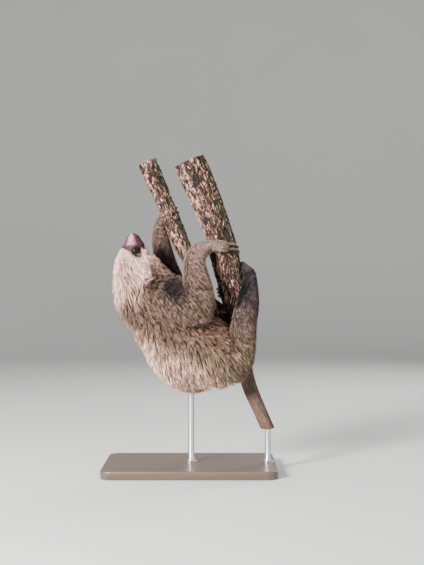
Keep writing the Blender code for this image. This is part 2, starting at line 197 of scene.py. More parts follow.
# ---- skin and coat
SEGMENT_STEPS = 4            # straight pieces in each span of a run
MELT = 0.004                 # width over which two runs flow together
ROOT_MELT = 0.013            # the same at the roots of the limbs
FLOW = 0.014                 # the same for the coat's flow
TRUNK = ("spine", "throat", "flank_right", "flank_left")
SKIN_VOXEL = 0.003
COVER = 4.6                  # layers of tufts
LOCK_SIZE = 5                # tufts that close up to one point
LOCK_CLOSE = np.array((0.0, 0.18, 0.40, 0.62))   # how far they are drawn to their leader
LOCK_LOOSE = np.array((1.0, 0.7, 0.4, 0.16))     # what is left of their distance from it
TUFT_LONG = (0.0050, 1.35)   # length in a coat of no depth, and more for each metre of depth
TUFT_WIDE = (0.0007, 0.036)  # the same for the width
TUFT_PROFILE = np.array((0.62, 1.0, 0.74))       # width of a tuft's rings from root to tip
TUFT_ROOT_SHADE_TIP_LIGHT = np.array((0.36, 0.74, 1.04, 1.22))   # lightness from root to tip: darker roots as painted shade deep in the coat, lighter tips as painted light through the hair
UNDER_SHARE = 0.34           # tufts of the short under coat, darkened as painted shade between the locks
STRAY_SHARE = 0.07
TUFT_RINGS = 3
PATCH = 0.003                # size of a tuft's patch on its chart
TUFTS_A_PIECE = 11500
# Coat pieces along the spine: (name, end, look).
SPINE_REGIONS = (("face", 3.2, "coat_pale"), ("head", 5.6, "coat_pale"), ("mane", 7.0, "coat_pale"),
                 ("back", 9.4, "coat_tan"), ("rump", math.inf, "coat_tan"))
FLANK_TONES = ((0, (0.175, 0.106, 0.076)), (1, (0.165, 0.096, 0.066)), (2, (0.142, 0.078, 0.050)))
COAT_TONES = {   # colour along each run
    "spine": ((0.0, (0.36, 0.22, 0.21)), (1.6, (0.66, 0.40, 0.35)), (2.4, (0.95, 0.55, 0.46)),
              (4.6, (0.95, 0.57, 0.48)), (5.2, (0.60, 0.365, 0.295)), (5.8, (0.37, 0.230, 0.180)),
              (6.6, (0.225, 0.140, 0.100)), (8.0, (0.195, 0.115, 0.078)),
              (10.0, (0.215, 0.132, 0.090))),
    "throat": ((0, (0.50, 0.29, 0.225)), (1, (0.22, 0.130, 0.095)), (2, (0.14, 0.088, 0.066))),
    "flank_right": FLANK_TONES,
    "flank_left": FLANK_TONES,
    "arm_right": ((0, (0.165, 0.105, 0.073)), (2, (0.148, 0.096, 0.068)),
                  (3, (0.188, 0.118, 0.090)), (4, (0.230, 0.146, 0.114)),
                  (5, (0.325, 0.213, 0.170)), (7, (0.285, 0.190, 0.150))),
    # The far arm is darker from the shoulder up the forearm, as painted shade cast by the head, and
    # paler at the hand.
    "arm_left": ((0.0, (0.080, 0.050, 0.038)), (1.6, (0.055, 0.036, 0.030)),
                 (2.4, (0.090, 0.058, 0.047)), (3.2, (0.180, 0.108, 0.086)),
                 (5.0, (0.185, 0.115, 0.090))),
    # The near leg darkens towards its foot, partly its own colour and partly painted shade.
    "leg_right": ((0.0, (0.225, 0.145, 0.096)), (2.0, (0.218, 0.148, 0.092)),
                  (3.0, (0.150, 0.097, 0.076)), (3.8, (0.084, 0.054, 0.050)),
                  (4.3, (0.054, 0.036, 0.038)), (5.6, (0.034, 0.024, 0.028)),
                  (7.0, (0.030, 0.022, 0.025))),
    "leg_left": ((0.0, (0.200, 0.128, 0.086)), (3.0, (0.140, 0.092, 0.073)),
                 (4.5, (0.048, 0.033, 0.034)), (7.0, (0.028, 0.020, 0.021))),
}
# Patches on both sides of the body, markings and the painted shade and light that each marks: (centre
# x and z, half sizes, colour, strength, turn).
PATCHES_AND_PAINTED_SHADE = (
    ((-0.090, 0.506), (0.018, 0.042), (0.100, 0.055, 0.037), 0.82, 0),   # painted shade in the crease where head meets breast
    ((-0.133, 0.470), (0.024, 0.040), (0.470, 0.295, 0.222), 0.82, 0),   # mane over the shoulder
    ((0.064, 0.400), (0.034, 0.014), (0.370, 0.235, 0.195), 0.85, 0),    # painted light on the belly under the elbow, against the elbow's shadow
    ((-0.039, 0.489), (0.050, 0.031), (0.020, 0.013, 0.015), 0.97, 48),  # painted shade in the pit of the shoulder, over darker short fur
    ((-0.034, 0.378), (0.062, 0.014), (0.130, 0.070, 0.047), 0.75, 0),   # painted shade in the fold at the waist
    ((0.085, 0.365), (0.040, 0.046), (0.128, 0.060, 0.038), 0.60, 0),    # flank by the knee
    ((0.112, 0.340), (0.010, 0.052), (0.060, 0.032, 0.023), 0.75, 0),    # painted shadow in the crease before the shin
    ((-0.160, 0.414), (0.036, 0.028), (0.130, 0.079, 0.057), 0.88, 0),   # below the mane
    ((0.112, 0.262), (0.034, 0.024), (0.142, 0.112, 0.070), 0.60, 0),    # smooth heel of the rump
    ((0.134, 0.480), (0.042, 0.022), (0.006, 0.005, 0.005), 0.95, -60),  # painted shade on the inside of the ankle
    ((0.164, 0.454), (0.020, 0.006), (0.020, 0.012, 0.013), 0.80, 40),   # painted shade in the crease over the ankle
)
PALE_BACK = (0.84, 0.535, 0.405)
PALE_SIDE = (-0.80, 0.0, -0.60)      # the side of the trunk that is bleached pale

# ---- looks
# Roughness, grain (scale, stretch), swing of the tint, relief (scale, stretch, distance, strength)
# or None, and what else the shader is given.
EVEN = (1, 1, 1)
SHINE = "Specular IOR Level"
COAT_SHADER = {SHINE: 0.15, "Sheen Weight": 0.03, "Sheen Roughness": 0.4}
LOOKS = {
    "coat_pale": ((0.45, 0.65), (420, EVEN), (0.80, 1.20), None, COAT_SHADER),
    "coat_tan": ((0.50, 0.70), (420, EVEN), (0.75, 1.25), None, COAT_SHADER),
    "coat_short": ((0.50, 0.70), (600, EVEN), (0.75, 1.25), None, COAT_SHADER),
    "muzzle_skin": ((0.48, 0.70), (900, EVEN), (0.80, 1.20), (1500, EVEN, 0.0004, 0.5), {SHINE: 0.09}),
    "eye": ((0.04, 0.10), (1500, EVEN), (0.7, 1.3), None, {SHINE: 0.30}),
    "claw": ((0.38, 0.56), (900, EVEN), (0.8, 1.15), (1200, EVEN, 0.0002, 0.4), {SHINE: 0.22}),
    "bark": ((0.75, 0.98), (420, (1, 1, 0.45)), (0.35, 1.65), (650, (1, 1, 0.5), 0.0016, 0.8),
             {SHINE: 0.25}),
    "stand_board": ((0.35, 0.55), (140, (0.06, 1, 1)), (0.55, 1.45), (260, (0.05, 1, 1), 0.0003, 0.4),
                    {"Coat Weight": 0.3, "Coat Roughness": 0.25}),
    "stand_metal": ((0.25, 0.42), (900, (1, 1, 0.03)), (0.85, 1.1), None, {"Metallic": 1.0}),
}


# ---- small sums
def unit(vectors):
    """Vectors made one long."""
    return vectors / np.maximum(np.linalg.norm(vectors, axis=-1, keepdims=True), 1e-12)


def ease(value, low, high):
    """0 below low, 1 above high, and smooth between."""
    share = np.clip((value - low) / (high - low), 0.0, 1.0)
    return share * share * (3 - 2 * share)


def wander(points, scale, shift=(0, 0, 0)):
    """Smooth noise at places."""
    shift = Vector(shift)
    return np.array([noise.noise(Vector(p) * scale + shift) for p in points])


def mixed(colour, other, share):
    """Colours moved towards others by a share for each row."""
    return colour + (np.array(other) - colour) * share[:, None]


def toned(at, places, colours):
    """Colours read between the places of a table."""
    return np.stack([np.interp(at, places, channel) for channel in zip(*colours)], 1)


def sides_along(ways, first, other):
    """A way across each step of a line, which doesn't twist along it."""
    aside = np.array(first if abs(ways[0] @ np.array(first)) < 0.8 else other)
    sides = []
    for step in ways:
        aside = unit(aside - step * (aside @ step))
        sides.append(aside)
    return np.array(sides)


def resample(run, steps):
    """The smooth line through a run's places, with steps points in each span."""
    ends = (run[0],) + tuple(run) + (run[-1],)
    line = []
    for i in range(1, len(ends) - 2):
        a, b, c, d = (np.array(place) for place in ends[i - 1:i + 3])
        for k in range(steps):
            t = k / steps
            line.append(0.5 * (2 * b + (c - a) * t + (2 * a - 5 * b + 4 * c - d) * t * t
                               + (3 * b - a - 3 * c + d) * t ** 3))
    return np.array(line + [np.array(run[-1])])


X_WAY, Y_WAY = (1.0, 0.0, 0.0), (0.0, 1.0, 0.0)
FORWARD = unit(HEAD_F)
RIGHT = unit(HEAD_R - FORWARD * (HEAD_R @ FORWARD))
UP = np.cross(RIGHT, FORWARD)


# ---- distance to the body
class Form:
    """Rounds swept along runs and melted together: distance, way out, and place on each run."""

    def __init__(self, runs, melt):
        self.names = list(runs)
        self.melt = melt
        self.trunk = np.array([name in TRUNK for name in runs])
        self.limb = np.array([name in END_NODE for name in runs])
        self.runs = [self.pieces(run) for run in runs.values()]

    @staticmethod
    def pieces(run):
        """The straight pieces of a run, as arrays with a row for each."""
        line = resample(run, SEGMENT_STEPS)
        way = np.diff(line[:, :3], axis=0)
        sides = sides_along(unit(way), Y_WAY, X_WAY)
        return {
            "start": line[:-1, :3], "way": way, "long": (way ** 2).sum(1),
            "radius": line[:-1, 3] - line[:-1, 4], "grow": np.diff(line[:, 3] - line[:, 4]),
            "depth": line[:-1, 4], "deepen": np.diff(line[:, 4]),
            "side": sides, "back": np.cross(unit(way), sides),
        }

    def measure(self, points, chunk=20000):
        """Distance, normal, coat depth, nearest run, place along it and angle round it."""
        found = [self.measure_some(points[i:i + chunk]) for i in range(0, len(points), chunk)]
        return {key: np.concatenate([part[key] for part in found]) for key in found[0]}

    def measure_some(self, p):
        """The same for few enough points."""
        rows = np.arange(len(p))
        every = []
        for run in self.runs:
            rel = p @ run["way"].T - (run["start"] * run["way"]).sum(1)
            free = rel / run["long"]
            t = np.clip(free, 0, 1)
            off = ((p ** 2).sum(1)[:, None] - 2 * p @ run["start"].T
                   + (run["start"] ** 2).sum(1))
            gap = np.sqrt(np.maximum(off - 2 * t * rel + t * t * run["long"], 1e-14))
            dist = gap - run["radius"] - t * run["grow"]
            k = dist.argmin(1)
            t, free = t[rows, k], free[rows, k]
            out = p - run["start"][k] - run["way"][k] * t[:, None]
            last = (k == 0) & (free < 0) | (k == len(run["long"]) - 1) & (free > 1)
            along = (k + np.where(last, free, t)) / SEGMENT_STEPS
            angle = np.arctan2((out * run["back"][k]).sum(1), (out * run["side"][k]).sum(1))
            every.append((dist[rows, k], unit(out), run["depth"][k] + t * run["deepen"][k],
                          along, angle, unit(run["way"])[k]))
        dist, out, depth, along, angle, tangent = (np.stack(column) for column in zip(*every))
        least = dist.min(0)
        nearest = dist.argmin(0)
        loose = np.exp(-(dist - least) / FLOW)
        melt = np.full(len(p), self.melt)
        if self.limb.any():
            root = (1 - ease(along, 0.9, 2.1)) * np.exp((least - dist) / 0.02)
            melt += (ROOT_MELT - self.melt) * root[self.limb].max(0)
        grouped, shares = self.grouped(dist)
        least = grouped.min(0)
        weight = shares * np.exp((least - grouped) / melt)
        total = weight.sum(0)
        share = weight / total
        return {
            "dist": least - melt * np.log(total),
            "normal": unit(np.einsum("rn,rnd->nd", share, out)),
            "soft": unit(np.einsum("rn,rnd->nd", loose, out)),
            "depth": np.einsum("rn,rn->n", share, depth),
            "run": nearest,
            "along": along[nearest, rows],
            "angle": angle[nearest, rows],
            "tangent": tangent[nearest, rows],
        }

    def grouped(self, dist):
        """Distances with the trunk's runs melted into one, and each run's share in its group."""
        grouped, shares = dist.copy(), np.ones_like(dist)
        if self.trunk.any():
            least = dist[self.trunk].min(0)
            weight = np.exp((least - dist[self.trunk]) / self.melt)
            total = weight.sum(0)
            shares[self.trunk] = weight / total
            grouped[self.trunk] = least - self.melt * np.log(total)
        return grouped, shares


def place_on(run, height):
    """Centre, direction and radius of a vine at a height."""
    line = resample(run, VINE_STEPS)
    below = int(np.argmax(line[:, 2] <= height))
    upper, lower = line[below - 1], line[below]
    t = (upper[2] - height) / (upper[2] - lower[2])
    here = upper + (lower - upper) * t
    return here[:3], unit(upper[:3] - lower[:3]), here[3]


def claw_line(limb, number, steps):
    """Points and radii of one claw, lying round the vine from the end of its digit."""
    vine, height, start, sweep, fall, count, spacing, root = CLAWS[limb]
    offset = (number - (count - 1) / 2) * spacing
    points, radii = [], []
    for share in np.linspace(0, 1, steps):
        centre, up, vine_radius = place_on(vine, height - offset + fall * share)
        side = unit(np.array(X_WAY) - up * up[0])
        back = np.cross(up, side)
        angle = math.radians(start + sweep * share)
        radius = CLAW_TIP + (root - CLAW_TIP) * (1 - share) ** CLAW_FULLNESS
        reach = vine_radius * (1 + BARK_LUMPS[0]) + GAP + radius
        points.append(centre + (side * math.cos(angle) + back * math.sin(angle)) * reach)
        radii.append(radius)
    return np.array(points), np.array(radii)


def digit_runs():
    """A short run for each digit, from the knuckles to the root of its claw."""
    runs = {}
    for limb, node in END_NODE.items():
        knuckles = np.array(RUNS[limb][-2])[:3]
        for number in range(CLAW_COUNTS[node]):
            (end, beyond, *_), radii = claw_line(node, number, 9)
            root = radii[0]
            runs[f"{node}_digit_{number + 1}"] = (
                (*(end * 0.25 + knuckles * 0.75), root + 0.0050, 0.0038),
                (*(end * 0.6 + knuckles * 0.4), root + 0.0044, 0.0028),
                (*end, root + 0.0030, 0.0020),
                (*(end * 0.6 + beyond * 0.4), root + 0.0018, 0.0010),
            )
    return runs


# ---- meshes
def new_object(name, data):
    """Link a new object into the scene."""
    obj = bpy.data.objects.new(name, data)
    bpy.context.scene.collection.objects.link(obj)
    return obj


def mesh_from(name, points, faces, sharp=None):
    """A smooth mesh from points and faces, with edges sharp above an angle."""
    mesh = bpy.data.meshes.new(name)
    mesh.from_pydata([tuple(p) for p in points], [], [tuple(int(i) for i in f) for f in faces])
    mesh.shade_smooth()
    if sharp:
        mesh.set_sharp_from_angle(angle=math.radians(sharp))
    return mesh


def paint(mesh, colours, least=0.0):
    """Store a colour for each point of a mesh, no channel darker than least."""
    layer = mesh.attributes.new("tint", "FLOAT_COLOR", "POINT")
    full = np.ones((len(mesh.vertices), 4), np.float32)
    full[:, :3] = np.clip(colours, least, 1)
    layer.data.foreach_set("color", full.ravel())


def dress(obj, slot):
    """Let a piece ride on the model's one body, with the material of its slot."""
    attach(obj, "root")
    obj.data.materials.clear()
    obj.data.materials.append(MATERIALS[slot])
    return obj


def show(mesh, slot, *nodes):
    """Show a mesh as a piece of the model, in a slot's material, in place of plain solids."""
    obj = dress(new_object(mesh.name, mesh), slot)
    if nodes:
        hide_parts(*nodes)


@contextlib.contextmanager
def edited(mesh):
    """A mesh opened for editing, and written back."""
    bm = bmesh.new()
    bm.from_mesh(mesh)
    yield bm
    bm.to_mesh(mesh)
    bm.free()


def coords(mesh):
    """A mesh's points as an array."""
    flat = np.zeros(len(mesh.vertices) * 3, np.float32)
    mesh.vertices.foreach_get("co", flat)
    return flat.reshape(-1, 3).astype(float)


def set_coords(mesh, points):
    """Move a mesh's points."""
    mesh.vertices.foreach_set("co", points.astype(np.float32).ravel())
    mesh.update()


def turns_of(count):
    """Even turns round a ring."""
    return np.linspace(0, 2 * math.pi, count, endpoint=False)


def ring_faces(rings, sides, first=0, flip=False, loop=False):
    """Faces between rings of points that follow each other, the last ring joined up in a loop."""
    faces = []
    for i in range(rings if loop else rings - 1):
        a, b = first + i * sides, first + (i + 1) % rings * sides
        for k in range(sides):
            n = (k + 1) % sides
            faces.append((a + k, b + k, b + n, a + n) if flip else (a + k, a + n, b + n, b + k))
    return faces


def fan(pole, first, sides, flip=False):
    """Faces from one point to each side of a ring."""
    pairs = [(first + k, first + (k + 1) % sides) for k in range(sides)]
    return [(pole, *pair[::-1 if flip else 1]) for pair in pairs]


def spokes(points, sides):
    """Ways out round each point of a line."""
    along = unit(np.gradient(points, axis=0))
    side = sides_along(along, X_WAY, Y_WAY)
    back = np.cross(along, side)
    turn = turns_of(sides)
    return np.cos(turn)[None, :, None] * side[:, None] + np.sin(turn)[None, :, None] * back[:, None]


def ring_tube(points, radii, sides, caps):
    """Points and faces of a closed bar; caps is the steps from each end's middle to its rim."""
    inner = np.linspace(0, 1, caps + 1)[1:-1]
    last = len(points) - 1
    order = ([(0, share) for share in inner] + [(i, 1.0) for i in range(last + 1)]
             + [(last, share) for share in inner[::-1]])
    way = spokes(points, sides)
    co = [points[i] + way[i] * radii[i] * share for i, share in order]
    co = np.concatenate(co + [points[:1], points[-1:]])
    count = len(order)
    faces = ring_faces(count, sides) + fan(count * sides, 0, sides, flip=True)
    return co, faces + fan(count * sides + 1, (count - 1) * sides, sides)


# ---- materials
def feed(tree, node, sockets):
    """Give sockets of a node their values, or the outputs that feed them."""
    for name, value in sockets.items():
        if isinstance(value, bpy.types.NodeSocket):
            tree.links.new(value, node.inputs[name])
        else:
            node.inputs[name].default_value = value


def add_node(tree, kind, sockets, output, **settings):
    """Add a shader node and give its output."""
    node = tree.nodes.new("ShaderNode" + kind)
    for key, value in settings.items():
        setattr(node, key, value)
    feed(tree, node, sockets)
    return node.outputs[output]


def grain_of(tree, scale, stretch=EVEN):
    """A noise texture in the object's own metres, stretched by axis."""
    space = add_node(tree, "TexCoord", {}, "Object")
    place = add_node(tree, "Mapping", {"Vector": space, "Scale": stretch}, "Vector")
    sockets = {"Vector": place, "Scale": scale, "Detail": 4.0, "Roughness": 0.6}
    return add_node(tree, "TexNoise", sockets, "Fac")


def ranged(tree, value, low, high):
    """A value between 0 and 1 moved to a range."""
    return add_node(tree, "MapRange", {"Value": value, "To Min": low, "To Max": high}, "Result")


def new_material(name):
    """A material with nodes, its tree and its shader."""
    material = bpy.data.materials.new(name)
    material.use_nodes = True
    return material, material.node_tree, material.node_tree.nodes["Principled BSDF"]


def make_look(name, roughness, grain, swing, relief, sockets):
    """The material that shows the tint painted on the points, with a fine grain."""
    material, tree, shader = new_material("look_" + name)
    fine = grain_of(tree, *grain)
    tint = add_node(tree, "Attribute", {}, "Color", attribute_name="tint")
    scaled = {"Vector": tint, "Scale": ranged(tree, fine, *swing)}
    colour = add_node(tree, "VectorMath", scaled, "Vector", operation="SCALE")
    feed(tree, shader, {"Base Color": colour, "Roughness": ranged(tree, fine, *roughness), **sockets})
    if relief:
        scale, stretch, distance, strength = relief
        bump = {"Height": grain_of(tree, scale, stretch), "Distance": distance, "Strength": strength}
        feed(tree, shader, {"Normal": add_node(tree, "Bump", bump, "Normal")})
    return material


# ---- markings, with painted shade and light
def colour_with_painted_shade(points, normals, run, along):
    """The animal's colour at places on its body, with the painted shade and light of some patches and
    tones, the same for skin and coat.
    """
    colour = np.zeros((len(points), 3))
    for number, name in enumerate(BODY.names):
        here = run == number
        tones = COAT_TONES.get(name)
        if tones is None:
            limb = next(limb for limb, node in END_NODE.items() if name.startswith(node))
            tones = COAT_TONES[limb][-1:]
        colour[here] = toned(along[here], *zip(*tones))
    trunk = ease(-points[:, 2], -0.400, -0.285)
    colour = mixed(colour, PALE_BACK, ease(normals @ np.array(PALE_SIDE), 0.10, 0.80) * trunk * 0.95)
    for (x, z), (wide, high), patch, strength, turn in PATCHES_AND_PAINTED_SHADE:
        cos, sin = math.cos(math.radians(turn)), math.sin(math.radians(turn))
        east, down = points[:, 0] - x, z - points[:, 2]
        away = np.hypot((east * cos + down * sin) / wide, (down * cos - east * sin) / high)
        colour = mixed(colour, patch, (1 - ease(away, 0.35, 1.35)) * strength)
    return colour


# ---- skin
def in_head(points):
    """Forward, up and right of the nose's centre in the head's own axes, in millimetres."""
    rel = (points - NOSE) * 1000
    return rel @ FORWARD, rel @ UP, rel @ RIGHT


def by_head(points):
    """1 near the nose and 0 beyond the head, so that the head's rules stay on the head."""
    return 1 - ease(np.linalg.norm(points - NOSE, axis=1), 0.062, 0.075)


def bell(off, width):
    """1 at nothing off, falling to 0."""
    return np.exp(-(off / width) ** 2)


def face_relief(points):
    """How far the skin of the muzzle stands out, in millimetres: nose pad, nostrils, lips, chin."""
    f, u, r = in_head(points)
    front = ease(f, 4, 12)
    aside = np.abs(r)
    mouth = -8.8 - (18 - f) * 0.115 + 2.6 * ease(-f, 4, 17)     # its line curls up at the corners
    off = u - mouth
    reach = ease(f, -18.5, -14.5)
    relief = (1 - ease((r / 9.5) ** 2 + ((u - 2.2) / 6.6) ** 2, 0.75, 1.15)) * front
    relief -= 3.4 * bell(aside - 7.2, 2.6) * bell(u - 4.0 - 0.45 * (aside - 7.2), 1.7) * front
    relief += 0.7 * bell(aside - 10.8, 1.6) * bell(u - 4.5, 3.0) * front
    relief -= 0.9 * bell(r, 0.9) * ease(-u, 2.5, 4.5) * (off > -1) * front
    relief -= 2.2 * bell(off, 1.05) * reach
    relief += 0.9 * bell(off - 3.4, 2.4) * reach
    relief += 0.6 * bell(off + 3.0, 2.2) * reach
    relief -= 1.6 * bell(off, 1.8) * bell(f + 13.5, 2.6)
    relief -= 2.4 * ease(-off, 3.5, 9) * ease(f, 2, 14)
    muzzle = ease(f, -20, -8) * (1 - ease(f, 9, 14)) * ease(u, -6, 2)
    drift = wander(points, 95)
    wave = np.sin(f * 1.9 + 0.014 * r * r + 5.0 * drift)
    relief += (0.16 + 0.22 * drift) * wave * muzzle + 0.22 * wander(points, 420) * ease(f, -24, -10)
    return relief


def bare_muzzle(points, farther=0.0):
    """1 on the bare muzzle and 0 in the fur; the edge may lie some millimetres farther back."""
    f, u, r = in_head(points)
    edge = FUR_EDGE + 2.5 * u / np.maximum(np.hypot(u, r), 1e-6) + 5.0 * wander(points, 110)
    return ease(f - edge + farther, -3.0, 7.0) * by_head(points)


def build_skin():
    """One skin over trunk, head, limbs and digits."""
    bm = bmesh.new()
    for run in ALL_RUNS.values():
        for x, y, z, radius, depth in resample(run, 8):
            made = bmesh.ops.create_icosphere(bm, subdivisions=2, radius=radius - depth)
            bmesh.ops.translate(bm, verts=made["verts"], vec=(x, y, z))
    mesh = bpy.data.meshes.new("skin")
    bm.to_mesh(mesh)
    bm.free()
    obj = new_object("skin", mesh)
    melt = obj.modifiers.new("melt", "REMESH")
    melt.mode = "VOXEL"
    melt.voxel_size = SKIN_VOXEL
    even = obj.modifiers.new("even", "SMOOTH")
    even.iterations = 3
    graph = bpy.context.evaluated_depsgraph_get()
    mesh = bpy.data.meshes.new_from_object(obj.evaluated_get(graph))
    obj.modifiers.clear()
    obj.data = mesh
    settle(mesh)
    refine_head(mesh)
    settle(mesh)
    return obj


def settle(mesh):
    """Move a mesh's points onto the skin's surface."""
    points = coords(mesh)
    for _ in range(3):
        found = BODY.measure(points)
        points -= found["normal"] * found["dist"][:, None]
    set_coords(mesh, points)


def refine_head(mesh):
    """Cut the faces of the muzzle and the eyes finer."""
    with edited(mesh) as bm:
        middles = np.array([face.calc_center_median() for face in bm.faces])
        near = (in_head(middles)[0] > -38) & (by_head(middles) > 0)
        edges = {edge for face, take in zip(bm.faces, near) if take for edge in face.edges}
        bmesh.ops.subdivide_edges(bm, edges=list(edges), cuts=3, use_grid_fill=True)
        bmesh.ops.triangulate(bm, faces=[face for face in bm.faces if len(face.verts) > 4])


def clear_of(points, form, gap):
    """Push points out of rigid pieces."""
    found = form.measure(points)
    return points + found["normal"] * np.maximum(gap - found["dist"], 0)[:, None]


def eye_centres():
    """Centre of each eyeball, sunk from its plain solid into the skin, and the way it looks."""
    found = {}
    for name, way in EYE_WAYS.items():
        low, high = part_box(name)
        centre = np.array((low + high) / 2)
        way = unit(np.array(way))
        for _ in range(3):
            centre = centre - way * (BODY.measure(centre[None])["dist"][0] - EYE_ABOVE)
        found[name] = (centre, way)
    return found


def eye_span(points):
    """Distance from each point to the nearer eye's axis, in millimetres, and infinity far off."""
    least = np.full(len(points), np.inf)
    for centre, way in EYES.values():
        rel = points - centre
        out = rel @ way
        aside = np.linalg.norm(rel - out[:, None] * way, axis=1)
        least = np.minimum(least, np.where(out > -0.006, aside, np.inf))
    return least * 1000


def eye_mound(points):
    """How far the skin rises round the eyes to meet the lids, in metres."""
    return EYE_MOUND * (1 - ease(eye_span(points), 8.0, 21.0))


def eye_patch(points):
    """1 on the dark patch of each eye, which trails back and down from it, and 0 beyond."""
    least = np.full(len(points), np.inf)
    for centre, way in EYES.values():
        rel = (points - centre) * 1000
        away = np.hypot((rel @ FORWARD + 3.5) / 15.5, (rel @ UP + 2.0) / 15.0)
        least = np.minimum(least, np.where(rel @ way > -12, away, np.inf))
    return (1 - ease(least, 0.72, 1.05)) * by_head(points)


def finish_skin(obj):
    """Relief, clearance and colours of the skin, with painted shade and a painted highlight."""
    mesh = obj.data
    points = coords(mesh)
    found = BODY.measure(points)
    near = (in_head(points)[0] > -48) & (by_head(points) > 0)
    lift = np.zeros(len(points))
    lift[near] = face_relief(points[near]) / 1000
    # Where the relief sinks (nostrils, mouth line, grooves), the colour gets painted shade below.
    recess_shade = ease(-lift * 1000, 0.5, 2.0)
    lift[near] += eye_mound(points[near])
    points = clear_of(points + found["normal"] * lift[:, None], PERCH, 0.0004)
    set_coords(mesh, points)
    colour = colour_with_painted_shade(points, found["normal"], found["run"], found["along"])
    # Skin under the fur is darkened as painted shade beneath the coat. The bare muzzle keeps its full
    # colour.
    bare = bare_muzzle(points, 8.0)
    colour *= (0.42 + 0.58 * bare)[:, None]
    f, u, r = in_head(points)
    # The muzzle: lilac with a painted highlight where it faces the light, painted shade on the sides
    # turned away, and darker skin at its rear.
    upper = (LIT_SIDE[0] * r + LIT_SIDE[1] * u + 5.0) / (np.hypot(u, r) + 5.0)
    lilac_and_highlight = LILAC + LILAC_PAINTED_HIGHLIGHT * (ease(upper, 0.88, 1.0) * ease(f, -16.0, -5.0))[:, None]
    side_shade_and_dusk = np.maximum(0.94 * (1 - ease(upper, 0.70, 0.96)), 0.88 * ease(-f, 5.0, 13.0))
    colour = mixed(colour, mixed(lilac_and_highlight, DUSKY_SKIN_AND_SHADE, side_shade_and_dusk), bare)
    blotch = wander(points[near], 160) + 0.6 * wander(points[near], 480)
    colour[near] *= (1 + 0.42 * blotch)[:, None]
    # Painted shade in the sunken places of the relief.
    colour *= (1 - 0.75 * recess_shade)[:, None]
    paint(mesh, mixed(colour, LID_COLOUR, eye_patch(points)), 0.006)
    dress(obj, "muzzle_skin")
    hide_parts(*[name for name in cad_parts
                       if not name.startswith(("stand", "perch", "eye")) and "claw" not in name])


# ---- eyes, lids, claws
def eye_axes(way):
    """Along the slit of the lids, and across it."""
    slit = unit(FORWARD - way * (FORWARD @ way))
    return slit, np.cross(way, slit)


def make_eyeball(name, centre, way):
    """An eyeball with a clear bulge over a dark iris."""
    slit, across = eye_axes(way)
    turns, steps = 48, 28
    tilt = np.repeat(math.pi * np.arange(1, steps) / steps, turns)
    turn = np.tile(turns_of(turns), steps - 1)
    ring = (np.cos(turn)[:, None] * slit + np.sin(turn)[:, None] * across) * np.sin(tilt)[:, None]
    bulge = EYE_RADIUS * (1 + 0.04 * np.exp(-(tilt / 0.55) ** 2))
    points = centre + (np.cos(tilt)[:, None] * way + ring) * bulge[:, None]
    ends = centre + way * EYE_RADIUS * 1.04, centre - way * EYE_RADIUS
    points = np.concatenate([ends[:1], points, ends[1:]])
    ray = 0.75 + 0.5 * np.abs(wander(np.stack([turn * 5, tilt * 3, turn * 0], 1), 1))
    tints = np.where((tilt < 1.20)[:, None], IRIS * ray[:, None], EYE_WHITE)
    tints = np.where((tilt < 0.40)[:, None], PUPIL, tints)
    tints = np.concatenate([[PUPIL_MIDDLE], tints, [EYE_WHITE]])
    faces = fan(0, 1, turns) + ring_faces(steps - 1, turns, first=1, flip=True)
    faces += fan(len(points) - 1, 1 + (steps - 2) * turns, turns, flip=True)
    mesh = mesh_from(name + "_ball", points, faces)
    paint(mesh, tints)
    show(mesh, "eye", name)


def skin_height(way, start):
    """How far out along an eye's way the skin lies from points beside the eye's centre."""
    height = np.full(len(start), 0.003)
    for _ in range(6):
        found = BODY.measure(start + way * height[:, None])
        height -= found["dist"] / np.maximum(found["normal"] @ way, 0.3)
    return height + eye_mound(start)


def make_lids(name, centre, way):
    """Bare lids with a slit, closed round the eyeball and running out onto the face."""
    slit, across = eye_axes(way)
    turns = 72
    turn = turns_of(turns)
    lean = np.where(np.sin(turn) > 0, 0.0047, 0.0043) * np.sin(turn)
    inner = np.stack([0.0056 * np.cos(turn), lean], 1)
    outer = LID_RADIUS * np.stack([1.06 * np.cos(turn), 0.94 * np.sin(turn)], 1)
    rings = []
    for share in (0.0, 0.05, 0.11, 0.18, 0.27, 0.38, 0.50, 0.64, 0.80, 1.0):
        plane = inner + (outer - inner) * share
        spot = centre + plane[:, :1] * slit + plane[:, 1:] * across
        far = np.linalg.norm(plane, axis=1)
        ball = np.sqrt(np.maximum((EYE_RADIUS + LID_THICK) ** 2 - far ** 2, 0))
        base = skin_height(way, spot)
        rise = np.maximum(ball, base + 0.0003)
        height = rise + (base - 0.0006 - rise) * ease(share, 0.25, 1.0)
        height -= 0.0004 * math.exp(-((share - 0.33) / 0.05) ** 2)
        if share == 0.0:
            height = np.sqrt(np.maximum((EYE_RADIUS + 0.0002) ** 2 - far ** 2, 0))
        rings.append(spot + way * height[:, None])
    rings += [ring - way * 0.0016 for ring in rings[::-3]] + [rings[0] - way * 0.0022]
    co = np.concatenate(rings)
    mesh = mesh_from(name + "_lids", co, ring_faces(len(rings), turns, flip=True, loop=True))
    colour = np.array(LID_COLOUR) * (0.8 + 0.5 * wander(co, 500))[:, None]
    colour[:2 * turns] *= 0.6
    paint(mesh, colour, 0.003)
    show(mesh, "muzzle_skin")


def make_claws():
    """Hooked claws, pale horn with a darker back and tip."""
    for node, count in CLAW_COUNTS.items():
        for number in range(count):
            line, radii = claw_line(node, number, CLAW_RINGS)
            radii = radii * (1 + 0.015 * np.sin(np.arange(CLAW_RINGS) * 1.9))
            co, faces = ring_tube(line, radii, 14, caps=2)
            claw = f"{node}_claw_{number + 1}"
            mesh = mesh_from(claw + "_horn", co, faces)
            nearest = np.linalg.norm(co[:, None] - line[None], axis=2).argmin(1)
            colour = mixed(HORN, DARK_HORN, ease(nearest / (CLAW_RINGS - 1), 0.35, 1.0))
            paint(mesh, colour * (1 + 0.25 * wander(co, 700))[:, None], 0.01)
            show(mesh, "claw", claw)


